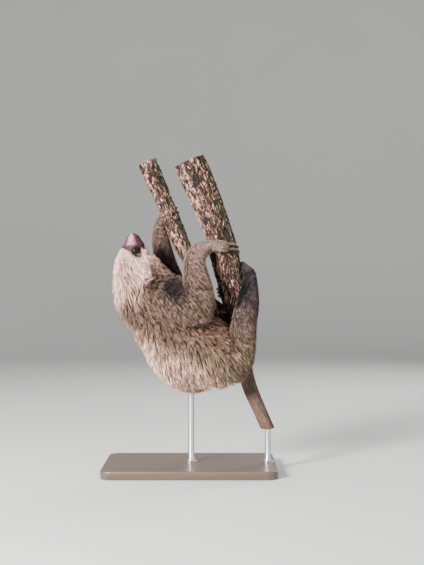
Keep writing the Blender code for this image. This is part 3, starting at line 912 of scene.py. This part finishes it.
# ---- coat
def sample_roots(mesh, rng):
    """Root points spread over the skin, closer where the tufts are finer."""
    mesh.calc_loop_triangles()
    corners = np.zeros(len(mesh.loop_triangles) * 3, np.int32)
    mesh.loop_triangles.foreach_get("vertices", corners)
    tri = coords(mesh)[corners.reshape(-1, 3)]
    middle = tri.mean(1)
    long, wide = tuft_size(BODY.measure(middle)["depth"])
    area = np.linalg.norm(np.cross(tri[:, 1] - tri[:, 0], tri[:, 2] - tri[:, 0]), axis=1) / 2
    closer = 1 + 1.2 * fine_face(middle)
    wanted = np.cumsum(area * COVER * closer / (long * wide * 0.62))
    count = int(wanted[-1])
    pick = np.searchsorted(wanted, (np.arange(count) + rng.random(count)) * wanted[-1] / count)
    pick = np.minimum(pick, len(tri) - 1)
    a, b = rng.random(count), rng.random(count)
    fold = a + b > 1
    a, b = np.where(fold, 1 - a, a), np.where(fold, 1 - b, b)
    t = tri[pick]
    roots = t[:, 0] + (t[:, 1] - t[:, 0]) * a[:, None] + (t[:, 2] - t[:, 0]) * b[:, None]
    return roots[rng.permutation(count)]


def tuft_size(depth):
    """Length and width of a tuft where the coat is so deep."""
    return tuple(least + more * depth for least, more in (TUFT_LONG, TUFT_WIDE))


def fine_face(points):
    """1 where the fur is shortest and finest, next to the muzzle, and 0 farther back."""
    return ease(in_head(points)[0], -42, -22) * by_head(points)


def lie(points, found):
    """The way the coat lies before it is laid on the body: down, and round towards the front."""
    x, z = points[:, 0], points[:, 2]
    name = np.array(BODY.names)[found["run"]]
    arm = np.char.startswith(name, "arm") | np.char.startswith(name, "hand")
    leg = np.char.startswith(name, "leg") | np.char.startswith(name, "foot")
    lean = 0.70 - 0.55 * ease(-z, -0.36, -0.23)
    lean = lean + 0.15 * ease(x, 0.0, 0.08) * ease(z, 0.25, 0.33)
    lean = np.where(arm, 0.95 - 0.55 * ease(z, 0.50, 0.60), lean)
    lean = np.where(leg & (x > 0.10), 0.75 - 0.35 * ease(z, 0.42, 0.52), lean)
    outward = np.where(arm, 0.38 + 0.55 * (1 - ease(found["along"], 0.3, 1.4)), 0.22)
    outward = np.where(arm | leg, outward * np.tanh(points[:, 1] / 0.03), 0.0)
    way = np.stack([lean, outward, -np.ones(len(x))], 1)
    way = mixed(way, FORWARD * -1.4, ease(in_head(points)[0], -48, -22) * by_head(points))
    end = (np.char.find(name, "digit") >= 0).astype(float)
    for limb in END_NODE:
        last = len(RUNS[limb]) - 1
        end = np.maximum(end, (name == limb) * ease(found["along"], last - 1.6, last - 0.3))
    round_limb = np.cross(found["soft"], found["tangent"]) * (5.0 * end * (1 - end))[:, None]
    return unit(mixed(way, found["tangent"] * 1.4, end) + round_limb)


def march(roots, long, high, turn):
    """Paths of the tufts, laid along the body and rising to the top of the coat."""
    path = [roots]
    here = roots
    found = BODY.measure(here)
    for k in range(1, TUFT_RINGS + 1):
        way = lie(here, found) + turn
        normal = found["soft"]
        way = unit(way - normal * (way * normal).sum(1)[:, None])
        here = here + way * (long / TUFT_RINGS)[:, None]
        found = BODY.measure(here)
        rise = high * (1 - (1 - k / TUFT_RINGS) ** 2.2)
        here = here + found["normal"] * (rise - found["dist"])[:, None]
        path.append(here)
    return np.stack(path, 1)


def close_locks(path, roots, leader, pull):
    """Draw the tufts of each lock together towards its leader's path, clear of perch and eyes."""
    count = len(roots)
    close = LOCK_CLOSE[None, :, None] * pull[:, None, None]
    meet = path[leader] + (roots - roots[leader])[:, None] * LOCK_LOOSE[None, :, None]
    level = BODY.measure(path.reshape(-1, 3))["dist"]
    flat = (path + (meet - path) * close).reshape(-1, 3)
    again = BODY.measure(flat)
    fix = np.maximum(level, 0) - again["dist"]
    flat = clear_of(flat + again["normal"] * (fix * 0.7)[:, None], PERCH, 0.0008)
    for centre, _ in EYES.values():
        rel = flat - centre
        out = np.maximum(EYE_RADIUS + LID_THICK + 0.0006 - np.linalg.norm(rel, axis=1), 0)
        flat = flat + unit(rel) * out[:, None]
    return flat.reshape(count, -1, 3)


def grow_coat(skin):
    """All the tufts: their paths, widths, colours and places on the charts."""
    rng = np.random.default_rng(SEED)
    roots = sample_roots(skin.data, rng)
    bare = rng.random(len(roots)) < bare_muzzle(roots)
    lid = rng.random(len(roots)) > ease(eye_span(roots), 4.8, 7.0)
    bare |= lid & (in_head(roots)[0] > -45)
    pressed = PERCH.measure(roots)["dist"] < 0.0015
    roots = roots[~(bare | pressed)]
    found = BODY.measure(roots)
    count = len(roots)
    parents = np.arange(0, count, LOCK_SIZE)
    locks = len(parents)
    tree = kdtree.KDTree(locks)
    for i, p in enumerate(roots[parents]):
        tree.insert(p, i)
    tree.balance()
    lock = np.array([tree.find(p)[1] for p in roots])

    long, wide = tuft_size(found["depth"])
    head, fine = by_head(roots), fine_face(roots)
    under = rng.random(count) < UNDER_SHARE
    lock_long = rng.uniform(0.80, 1.20, locks)[lock]
    lock_high = rng.uniform(0.84, 1.0, locks)[lock]
    lock_turn = rng.normal(0, 0.07, (locks, 3))[lock]
    long = long * lock_long * rng.uniform(0.85, 1.12, count) * np.where(under, 0.8, 1.0)
    high = found["depth"] * lock_high * rng.uniform(0.90, 1.03, count)
    high = np.where(under, high * rng.uniform(0.35, 0.65, count), high)
    stray = ~under & (rng.random(count) < STRAY_SHARE)
    high = np.where(stray, high * 1.15 + 0.0005, high)
    turn = lock_turn + rng.normal(0, 0.045, (count, 3)) * np.where(stray, 2.5, 1.0)[:, None]
    wide = wide * rng.uniform(0.70, 1.20, count)
    wide *= np.where(under, 1.6, 1.0) * np.where(stray, 0.6, 1.0)
    long *= 1 - 0.58 * (1 - ease(-in_head(roots)[0], 14, 44)) * head
    long *= (0.6 + 0.4 * ease(eye_span(roots), 8.0, 18.0)) * (1 - 0.25 * fine)
    wide *= 1 - 0.32 * fine
    high *= 1 - 0.32 * fine
    path = march(roots, long, high, turn)
    pull = np.where(under, 0.4, np.where(stray, 0.15, 1.0))
    path = close_locks(path, roots, parents[lock], pull)

    shown = BODY.measure(path[:, 2])
    colour = colour_with_painted_shade(path[:, 2], shown["normal"], shown["run"], shown["along"])
    colour = mixed(colour, DARK_FUR, eye_patch(path[:, 1]) * (rng.random(count) < 0.97))
    tone = 1 + 0.18 * wander(roots[parents], 38)[lock]
    tone = tone * rng.normal(1.0, 0.30, locks)[lock] * rng.normal(1.0, 0.14, count)
    leg = np.char.startswith(np.array(BODY.names)[found["run"]], "leg")
    tone *= 1 + 1.1 * wander(roots[parents], 95)[lock] * leg * ease(found["along"], 2.2, 3.4)
    warm = rng.normal(0, 0.035, locks)[lock]
    colour = colour * np.clip(tone, 0.30, 2.1)[:, None]
    colour = colour * np.stack([1 + warm, np.ones(count), 1 - warm], 1)
    # The under coat is darkened as painted shade between the locks. Each tuft is darker at its root as
    # painted shade and lighter at its tip as painted light.
    colour = colour * np.where(under, 0.42 + 0.28 * head, 1.0)[:, None]
    shade_to_light = TUFT_ROOT_SHADE_TIP_LIGHT[None] * np.ones((count, 1))
    shade_to_light += (1.12 - shade_to_light) * 0.55 * head[:, None]
    colour = np.clip(colour[:, None] * shade_to_light[..., None], 0.006, 0.95)
    return {"path": path, "wide": wide, "colour": colour, **found}


def build_tufts(name, coat, chosen, slot):
    """One coat piece: closed three-sided tufts with their patches on the OFBake chart."""
    path, wide, colour, normal = (coat[key][chosen] for key in ("path", "wide", "colour", "normal"))
    count, rings = len(path), TUFT_RINGS
    ways = unit(np.gradient(path, axis=1))
    across = unit(np.cross(ways, normal[:, None]))[:, :rings]
    up = np.cross(across, ways[:, :rings])
    profile = TUFT_PROFILE[None, :, None] * wide[:, None, None] / 2
    middle = path[:, :rings]
    low = middle - up * profile * 0.25
    corners = [low - across * profile, low + across * profile, middle + up * profile * 0.55]
    ring = np.stack(corners, 2).reshape(count, rings * 3, 3)
    each = rings * 3 + 1
    quads = ring_faces(rings, 3)
    last = (rings - 1) * 3
    tris = [(last + a, last + b, each - 1) for a, b in ((0, 1), (1, 2), (2, 0))] + [(0, 2, 1)]
    base = (np.arange(count) * each)[:, None]
    loops = [(base + np.array(faces).ravel()[None]).ravel() for faces in (quads, tris)]
    loops = np.concatenate(loops).astype(np.int32)
    sizes = np.concatenate([np.full(count * len(quads), 4), np.full(count * len(tris), 3)])
    starts = np.concatenate([[0], np.cumsum(sizes)[:-1]]).astype(np.int32)
    mesh = bpy.data.meshes.new(name)
    mesh.vertices.add(count * each)
    set_coords(mesh, np.concatenate([ring, path[:, rings:]], 1))
    mesh.loops.add(len(loops))
    mesh.loops.foreach_set("vertex_index", loops)
    mesh.polygons.add(len(sizes))
    mesh.polygons.foreach_set("loop_start", starts)
    mesh.update(calc_edges=True)
    mesh.shade_smooth()
    tint = np.concatenate([np.repeat(colour[:, :rings], 3, axis=1), colour[:, rings:]], 1)
    paint(mesh, tint.reshape(-1, 3))

    # Each root lies on the skin unrolled round its run, and its tuft has a small patch there.
    u = coat["angle"][chosen] / (2 * math.pi) + 0.5
    v = coat["along"][chosen]
    v = (v - v.min()) / max(v.max() - v.min(), 1e-6)
    place = 0.001 + np.stack([u, v], 1) * (0.998 - PATCH)
    spot = [(k / 2, i / rings) for i in range(rings) for k in range(3)] + [(0.5, 1.0)]
    at = (place[:, None] + np.array(spot)[None] * PATCH).reshape(-1, 2)
    layer = mesh.uv_layers.new(name="OFBake")
    layer.data.foreach_set("uv", at[loops].astype(np.float32).ravel())
    show(mesh, slot)


def make_coat(skin):
    """The coat, in pieces by region, each small enough to export."""
    coat = grow_coat(skin)
    names = np.array(BODY.names)[coat["run"]]
    along = coat["along"]
    regions = {}
    start = -math.inf
    for region, end, slot in SPINE_REGIONS:
        regions[region] = ((names == "spine") & (along >= start) & (along < end), slot)
        start = end
    for region in TRUNK[1:]:
        regions[region] = (names == region, "coat_tan")
    for limb, node in END_NODE.items():
        ended = along >= END_OF_LIMB[limb]
        regions[limb] = ((names == limb) & ~ended, "coat_tan")
        regions[node] = ((names == limb) & ended, "coat_short")
        for number in range(CLAW_COUNTS[node]):
            digit = f"{node}_digit_{number + 1}"
            regions[digit] = (names == digit, "coat_short")
    total = 0
    for region, (mine, slot) in regions.items():
        rows = np.flatnonzero(mine)
        if not len(rows):
            continue
        rows = rows[np.argsort(along[rows])]
        parts = np.array_split(rows, math.ceil(len(rows) / TUFTS_A_PIECE))
        for i, part in enumerate(parts):
            name = f"coat_{region}_{i + 1}" if len(parts) > 1 else f"coat_{region}"
            build_tufts(name, coat, part, slot)
        total += len(rows)
    print("tufts", total, "triangles", total * (TUFT_RINGS * 6 - 2))


# ---- perch
def vine_line(run, step):
    """Points, radii and lengths along a vine at even steps, with the solids' slow swelling."""
    fine = resample(run, VINE_STEPS)
    place = np.arange(len(fine)) / VINE_STEPS
    walked = np.concatenate([[0], np.cumsum(np.linalg.norm(np.diff(fine[:, :3], axis=0), axis=1))])
    even = np.linspace(0, walked[-1], int(walked[-1] / step) + 1)
    points = np.stack([np.interp(even, walked, fine[:, axis]) for axis in range(3)], 1)
    radius = np.interp(even, walked, fine[:, 3])
    index = np.interp(even, walked, place) * LUMP_STEPS
    wave = np.sin(2 * math.pi * BARK_LUMPS[1] * index / (LUMP_STEPS * (len(run) - 1) + 1))
    return points, radius * (1 + BARK_LUMPS[0] * wave), even


def bark_height(around, walked, radius, seed):
    """Height of the bark in millimetres: torn strips and crumbs over slow twists."""
    x = math.cos(around) * radius
    y = math.sin(around) * radius
    twist = noise.noise(Vector((x * 50 + seed, y * 50, walked * 10)))
    strips = noise.noise(Vector((x * 190, y * 190 + seed, walked * 26)))
    torn = noise.noise(Vector((x * 300 + seed, y * 300, walked * 95)))
    crumbs = noise.noise(Vector((x * 520, y * 520, walked * 240 + seed)))
    ridge = 1 - min(abs(strips) * 3.0, 1.0)
    return 1.8 * twist + 2.3 * ridge + 1.9 * torn + 1.5 * crumbs


def make_vine(name, run, seed, sides, node, foot=None):
    """A length of liana with ridged bark and sawn ends, perhaps sawn level at its foot."""
    points, radii, walked = vine_line(run, VINE_STEP)
    co, faces = ring_tube(points, radii, sides, caps=CAP_RINGS + 1)
    way = spokes(points, sides)
    height = np.array([[bark_height(t, w, r, seed) for t in turns_of(sides)]
                       for w, r in zip(walked, radii)])
    level = (height - height.mean()) / height.std()
    rough = (1 - 0.5 * ease(-points[:, 2], -0.36, -0.24)) * radii / radii.max()
    lifted = radii[:, None] * 0.97 + 0.0015 * level.clip(-2.0, 1.7) * rough[:, None]
    surface = points[:, None] + way * lifted[..., None]
    spots = surface.reshape(-1, 3)
    first = CAP_RINGS * sides
    body = slice(first, first + len(spots))
    co[body] = spots

    speck = wander(spots, 150, (0, seed, 0))
    calm = ease(-spots[:, 2], -0.37, -0.27)
    # Colour follows the relief: painted shade in the grooves and painted highlight on the crests,
    # calmer low on the stem.
    tone = (level.ravel() + 1.5 * speck) * (1 - 0.68 * calm) + 0.35 * calm
    shade = mixed(toned(tone, BARK_LEVELS, BARK_SHADE_TO_HIGHLIGHT_TONES), STEM, 0.45 * calm)
    green = way.reshape(-1, 3)[:, 0] * 1.5 + wander(spots, 30, (seed, 0, 0)) * 1.4
    green = (green - 0.55 + 0.12 * level.ravel()).clip(0, 0.65)
    green *= ease(spots[:, 2], 0.30, 0.45) * (1 - 0.5 * ease(spots[:, 2], 0.70, 0.80))
    tints = np.zeros((len(co), 3))
    tints[body] = mixed(shade, np.array(MOSS) * (1 + 0.5 * speck)[:, None], green)
    for end in (0, len(points) - 1):
        shake = wander(surface[end], 90)
        for k in range(CAP_RINGS):
            share = (k + 1) / (CAP_RINGS + 1)
            start = k * sides if end == 0 else body.stop + (CAP_RINGS - 1 - k) * sides
            ring = slice(start, start + sides)
            co[ring] = points[end] + (surface[end] - points[end]) * share
            wood = SAWN_WOOD * (0.80 + 0.22 * np.sin(share * 55 + shake * 2.5))[:, None]
            tints[ring] = wood + (np.array(BARK_SHADE_TO_HIGHLIGHT_TONES[1]) - wood) * ease(share, 0.86, 0.95)
    tints[-2:] = SAWN_WOOD * 0.6
    mesh = mesh_from(name, co, faces)
    paint(mesh, tints, 0.004)
    if foot:
        saw(mesh, foot)
    show(mesh, "bark", node)


def saw(mesh, height):
    """Saw a vine off level at a height."""
    with edited(mesh) as bm:
        bmesh.ops.bisect_plane(bm, geom=bm.verts[:] + bm.edges[:] + bm.faces[:],
                               plane_co=(0, 0, height), plane_no=(0, 0, 1), clear_inner=True)
        bmesh.ops.holes_fill(bm, edges=[edge for edge in bm.edges if edge.is_boundary])
        bmesh.ops.triangulate(bm, faces=[face for face in bm.faces if len(face.verts) > 4])
    mesh.shade_smooth()
    mesh.set_sharp_from_angle(angle=math.radians(60))


def place_for_bit(points, rng, span, spare):
    """A step on a vine at a random height, some steps from its foot."""
    i = int(np.searchsorted(-points[:, 2], -rng.uniform(*span)))
    return min(max(i, 3), len(points) - spare)


def make_flakes(name, run, seed, count, span):
    """Loose crumbs and strips of bark, each a thin closed plate lifted at its lower end."""
    rng = np.random.default_rng(seed)
    points, radii, _ = vine_line(run, BITS_STEP)
    side, back = (spokes(points, 4)[:, k] for k in (0, 1))
    rows = 4
    half = rows * 3
    rim = [0, 1, 2, 5, 8, 11, 10, 9, 6, 3]
    co, faces, tints = [], [], []
    for _ in range(count):
        i = place_for_bit(points, rng, span, 14)
        turn = rng.uniform(0, 2 * math.pi)
        long = rng.uniform(0.004, 0.012) * (1 + rng.random() ** 4)
        wide = long * rng.uniform(0.22, 0.55)
        lift = rng.uniform(0.0004, 0.0028)
        skew = rng.normal(0, 0.16)
        left, right = rng.uniform(0.15, 1.0, rows), rng.uniform(0.15, 1.0, rows)
        base = len(co)
        tone = np.array(BARK_SHADE_TO_HIGHLIGHT_TONES[rng.choice((1, 2, 2, 3, 3, 4))]) * rng.uniform(0.55, 1.1)
        side_on = side[i][0] * math.cos(turn) + back[i][0] * math.sin(turn)
        if side_on > rng.uniform(0.15, 0.8):
            tone = np.array(MOSS) * rng.uniform(0.4, 1.5)
        for level in (0.0, 0.0006):
            for a in range(rows):
                share = a / (rows - 1)
                at = i + share * long / BITS_STEP
                j = min(int(at), len(points) - 2)
                here = points[j] + (points[j + 1] - points[j]) * (at - j)
                for s, reach in ((-1, left[a]), (0, 0.0), (1, right[a])):
                    angle = turn + skew * share + s * reach * wide / 2 / radii[j]
                    way = side[j] * math.cos(angle) + back[j] * math.sin(angle)
                    out = radii[j] * 1.01 - 0.0008 + level + lift * share ** 1.5 - abs(s) * 0.0004
                    co.append(here + way * out)
                    tints.append(tone * (0.6 + 0.6 * share))
        for low in (base + a * 3 + s for a in range(rows - 1) for s in range(2)):
            top = low + half
            faces += [(low, low + 1, low + 4, low + 3), (top, top + 3, top + 4, top + 1)]
        for a, b in zip(rim, rim[1:] + rim[:1]):
            faces.append((base + b, base + a, base + a + half, base + b + half))
    finish_bits(name, co, faces, tints)


def make_moss(name, run, seed, count, span):
    """Sprigs of moss on the shaded side of a vine, each a thin closed spike."""
    rng = np.random.default_rng(seed)
    points, radii, _ = vine_line(run, BITS_STEP)
    co, faces, tints = [], [], []
    for _ in range(count):
        i = place_for_bit(points, rng, span, 4)
        way = unit(np.array(X_WAY) + rng.normal(0, 0.55, 3))
        tangent = unit(points[i + 1] - points[i])
        way = unit(way - tangent * (way @ tangent))
        across = np.cross(way, tangent)
        foot = points[i] + way * (radii[i] * 0.99)
        tip = foot + unit(way + rng.normal(0, 0.6, 3)) * rng.uniform(0.0018, 0.0048)
        wide = rng.uniform(0.0004, 0.0009)
        tone = np.array(MOSS) * rng.uniform(0.5, 2.2)
        a, b, c, d = range(len(co), len(co) + 4)
        co += [foot + (across * math.cos(turn) + tangent * math.sin(turn)) * wide
               for turn in (0, 2.1, 4.2)] + [tip]
        tints += [tone * 0.6] * 3 + [tone]
        faces += [(a, c, b), (a, b, d), (b, c, d), (c, a, d)]
    finish_bits(name, co, faces, tints)


def finish_bits(name, co, faces, tints):
    """Turn many small closed shapes into one piece of bark."""
    mesh = mesh_from(name, co, faces)
    with edited(mesh) as bm:
        bmesh.ops.recalc_face_normals(bm, faces=bm.faces[:])
    paint(mesh, np.array(tints), 0.004)
    show(mesh, "bark")


def make_perch():
    """The forked liana."""
    make_vine("liana_thick", THICK_VINE, 3.0, 110, "perch_thick_vine", foot=STEM_FOOT)
    make_vine("liana_thin", THIN_VINE, 17.0, 72, "perch_thin_vine")
    make_flakes("liana_thick_flakes", THICK_VINE, 5, 1300, (0.30, 0.825))
    make_flakes("liana_thin_flakes", THIN_VINE, 6, 700, (0.46, 0.825))
    make_moss("liana_thick_moss", THICK_VINE, 7, 1700, (0.42, 0.825))
    make_moss("liana_thin_moss", THIN_VINE, 8, 520, (0.56, 0.825))


# ---- stand
def make_board():
    """The base board, with rounded corners, a soft upper edge and a grain."""
    width, depth, height = BASE_SIZE
    outline = []
    for cx, cy, start in ((1, 1, 0), (-1, 1, 90), (-1, -1, 180), (1, -1, 270)):
        for step in range(13):
            angle = math.radians(start + step * 7.5)
            outline.append((cx * (width / 2 - BASE_CORNER) + BASE_CORNER * math.cos(angle),
                            cy * (depth / 2 - BASE_CORNER) + BASE_CORNER * math.sin(angle)))
    outline = np.array(outline)
    inward = -unit(outline)
    levels = [(0.0006, 0.0), (0.0, 0.0006), (0.0, height - BASE_EDGE)]
    for angle in (math.radians(step * 15) for step in range(1, 7)):
        levels.append((BASE_EDGE * (1 - math.cos(angle)), height - BASE_EDGE * (1 - math.sin(angle))))
    levels += [(0.012, height), (0.040, height), (0.090, height)]
    sides = len(outline)
    co = np.concatenate([np.column_stack([outline + inward * inset, np.full(sides, z)])
                         for inset, z in levels])
    faces = [tuple(range(sides))[::-1], tuple(range(len(co) - sides, len(co)))]
    mesh = mesh_from("stand_board", co, faces + ring_faces(len(levels), sides), sharp=40)
    paint(mesh, BOARD_TONE)
    show(mesh, "stand_board", "stand_base")


def make_rods():
    """Two rods with a turned collar at the board."""
    foot = place_on(THICK_VINE, STEM_FOOT)[0]
    rods = {"stand_rod_body": (*BODY_ROD, BODY_ROD_TOP),
            "stand_rod_perch": (foot[0], foot[1], STEM_FOOT - GAP / 2)}
    low = BASE_SIZE[2]
    for name, (x, y, top) in rods.items():
        profile = ((0.0002, 0.0155), (0.0004, 0.0160), (0.0030, 0.0160), (0.0040, 0.0150),
                   (0.0045, 0.0105), (0.0090, 0.0095), (0.0100, 0.0082), (0.0105, ROD_RADIUS),
                   (top - low - 0.0008, ROD_RADIUS), (top - low, ROD_RADIUS - 0.0008))
        line = np.array([(x, y, low + z) for z, radius in profile])
        co, faces = ring_tube(line, [radius for z, radius in profile], 40, caps=2)
        mesh = mesh_from(name + "_turned", co, faces, sharp=35)
        paint(mesh, METAL_TONE)
        show(mesh, "stand_metal", name)


# ---- studio
def make_studio():
    """A pale floor that curves up into walls, soft lights and the camera."""
    flat, bend, top, turns = 4.5, 2.5, 5.0, 72
    profile = [(1.5, 0.0), (3.0, 0.0)]
    for angle in (math.radians(step) for step in range(0, 91, 6)):
        profile.append((flat + bend * math.sin(angle), bend * (1 - math.cos(angle))))
    profile.append((flat + bend, top))
    co = [(r * math.cos(turn), r * math.sin(turn), z) for r, z in profile for turn in turns_of(turns)]
    co.append((0.0, 0.0, 0.0))
    faces = fan(len(co) - 1, 0, turns) + ring_faces(len(profile), turns, flip=True)
    floor = new_object("floor", mesh_from("floor", co, faces))
    material, tree, shader = new_material("floor")
    shade = {"A": (0.50, 0.50, 0.49, 1), "B": (0.54, 0.54, 0.53, 1), "Factor": grain_of(tree, 2.0)}
    shade = add_node(tree, "Mix", shade, "Result", data_type="RGBA")
    feed(tree, shader, {"Base Color": shade, "Roughness": 0.85})
    floor.data.materials.append(material)

    aim = Vector((0.0, 0.0, 0.45))
    for name, place, size, power in (("key", (-2.0, -2.7, 1.5), 0.9, 540),
                                     ("fill", (2.6, -2.4, 1.2), 2.2, 40),
                                     ("rim", (1.6, 2.6, 2.4), 1.4, 90),
                                     ("top", (-0.6, 0.6, 3.4), 2.0, 60)):
        light = bpy.data.lights.new(name, "AREA")
        light.shape = "DISK"
        light.size = size
        light.energy = power
        lamp = new_object(name, light)
        lamp.location = place
        lamp.rotation_euler = (aim - Vector(place)).to_track_quat("-Z", "Y").to_euler()
    world = bpy.data.worlds.new("studio")
    world.use_nodes = True
    sky = world.node_tree.nodes["Background"]
    feed(world.node_tree, sky, {"Color": (0.93, 0.95, 1.0, 1), "Strength": 0.32})
    bpy.context.scene.world = world

    camera = new_object("camera", bpy.data.cameras.new("camera"))
    camera.location = (0.059, -3.0, 0.506)
    camera.rotation_euler = (math.radians(90), 0.0, 0.0)
    camera.data.sensor_fit = "VERTICAL"
    camera.data.sensor_height = 36.0
    camera.data.lens = 70.8
    bpy.context.scene.camera = camera


# ---- the model
make_studio()
ALL_RUNS = {**RUNS, **digit_runs()}
BODY = Form(ALL_RUNS, MELT)
PERCH = Form({
    "thick": tuple((x, y, z, r * 1.04, 0.0) for x, y, z, r in THICK_VINE),
    "thin": tuple((x, y, z, r * 1.04, 0.0) for x, y, z, r in THIN_VINE),
    "rod": tuple((*BODY_ROD, z, ROD_RADIUS, 0.0) for z in (BASE_SIZE[2], BODY_ROD_TOP)),
}, 0.0005)
EYES = eye_centres()
MATERIALS = {name: make_look(name, *look) for name, look in LOOKS.items()}
SKIN = build_skin()
make_coat(SKIN)
finish_skin(SKIN)
for eye_name, (eye_centre, eye_way) in EYES.items():
    make_eyeball(eye_name, eye_centre, eye_way)
    make_lids(eye_name, eye_centre, eye_way)
make_claws()
make_perch()
make_board()
make_rods()
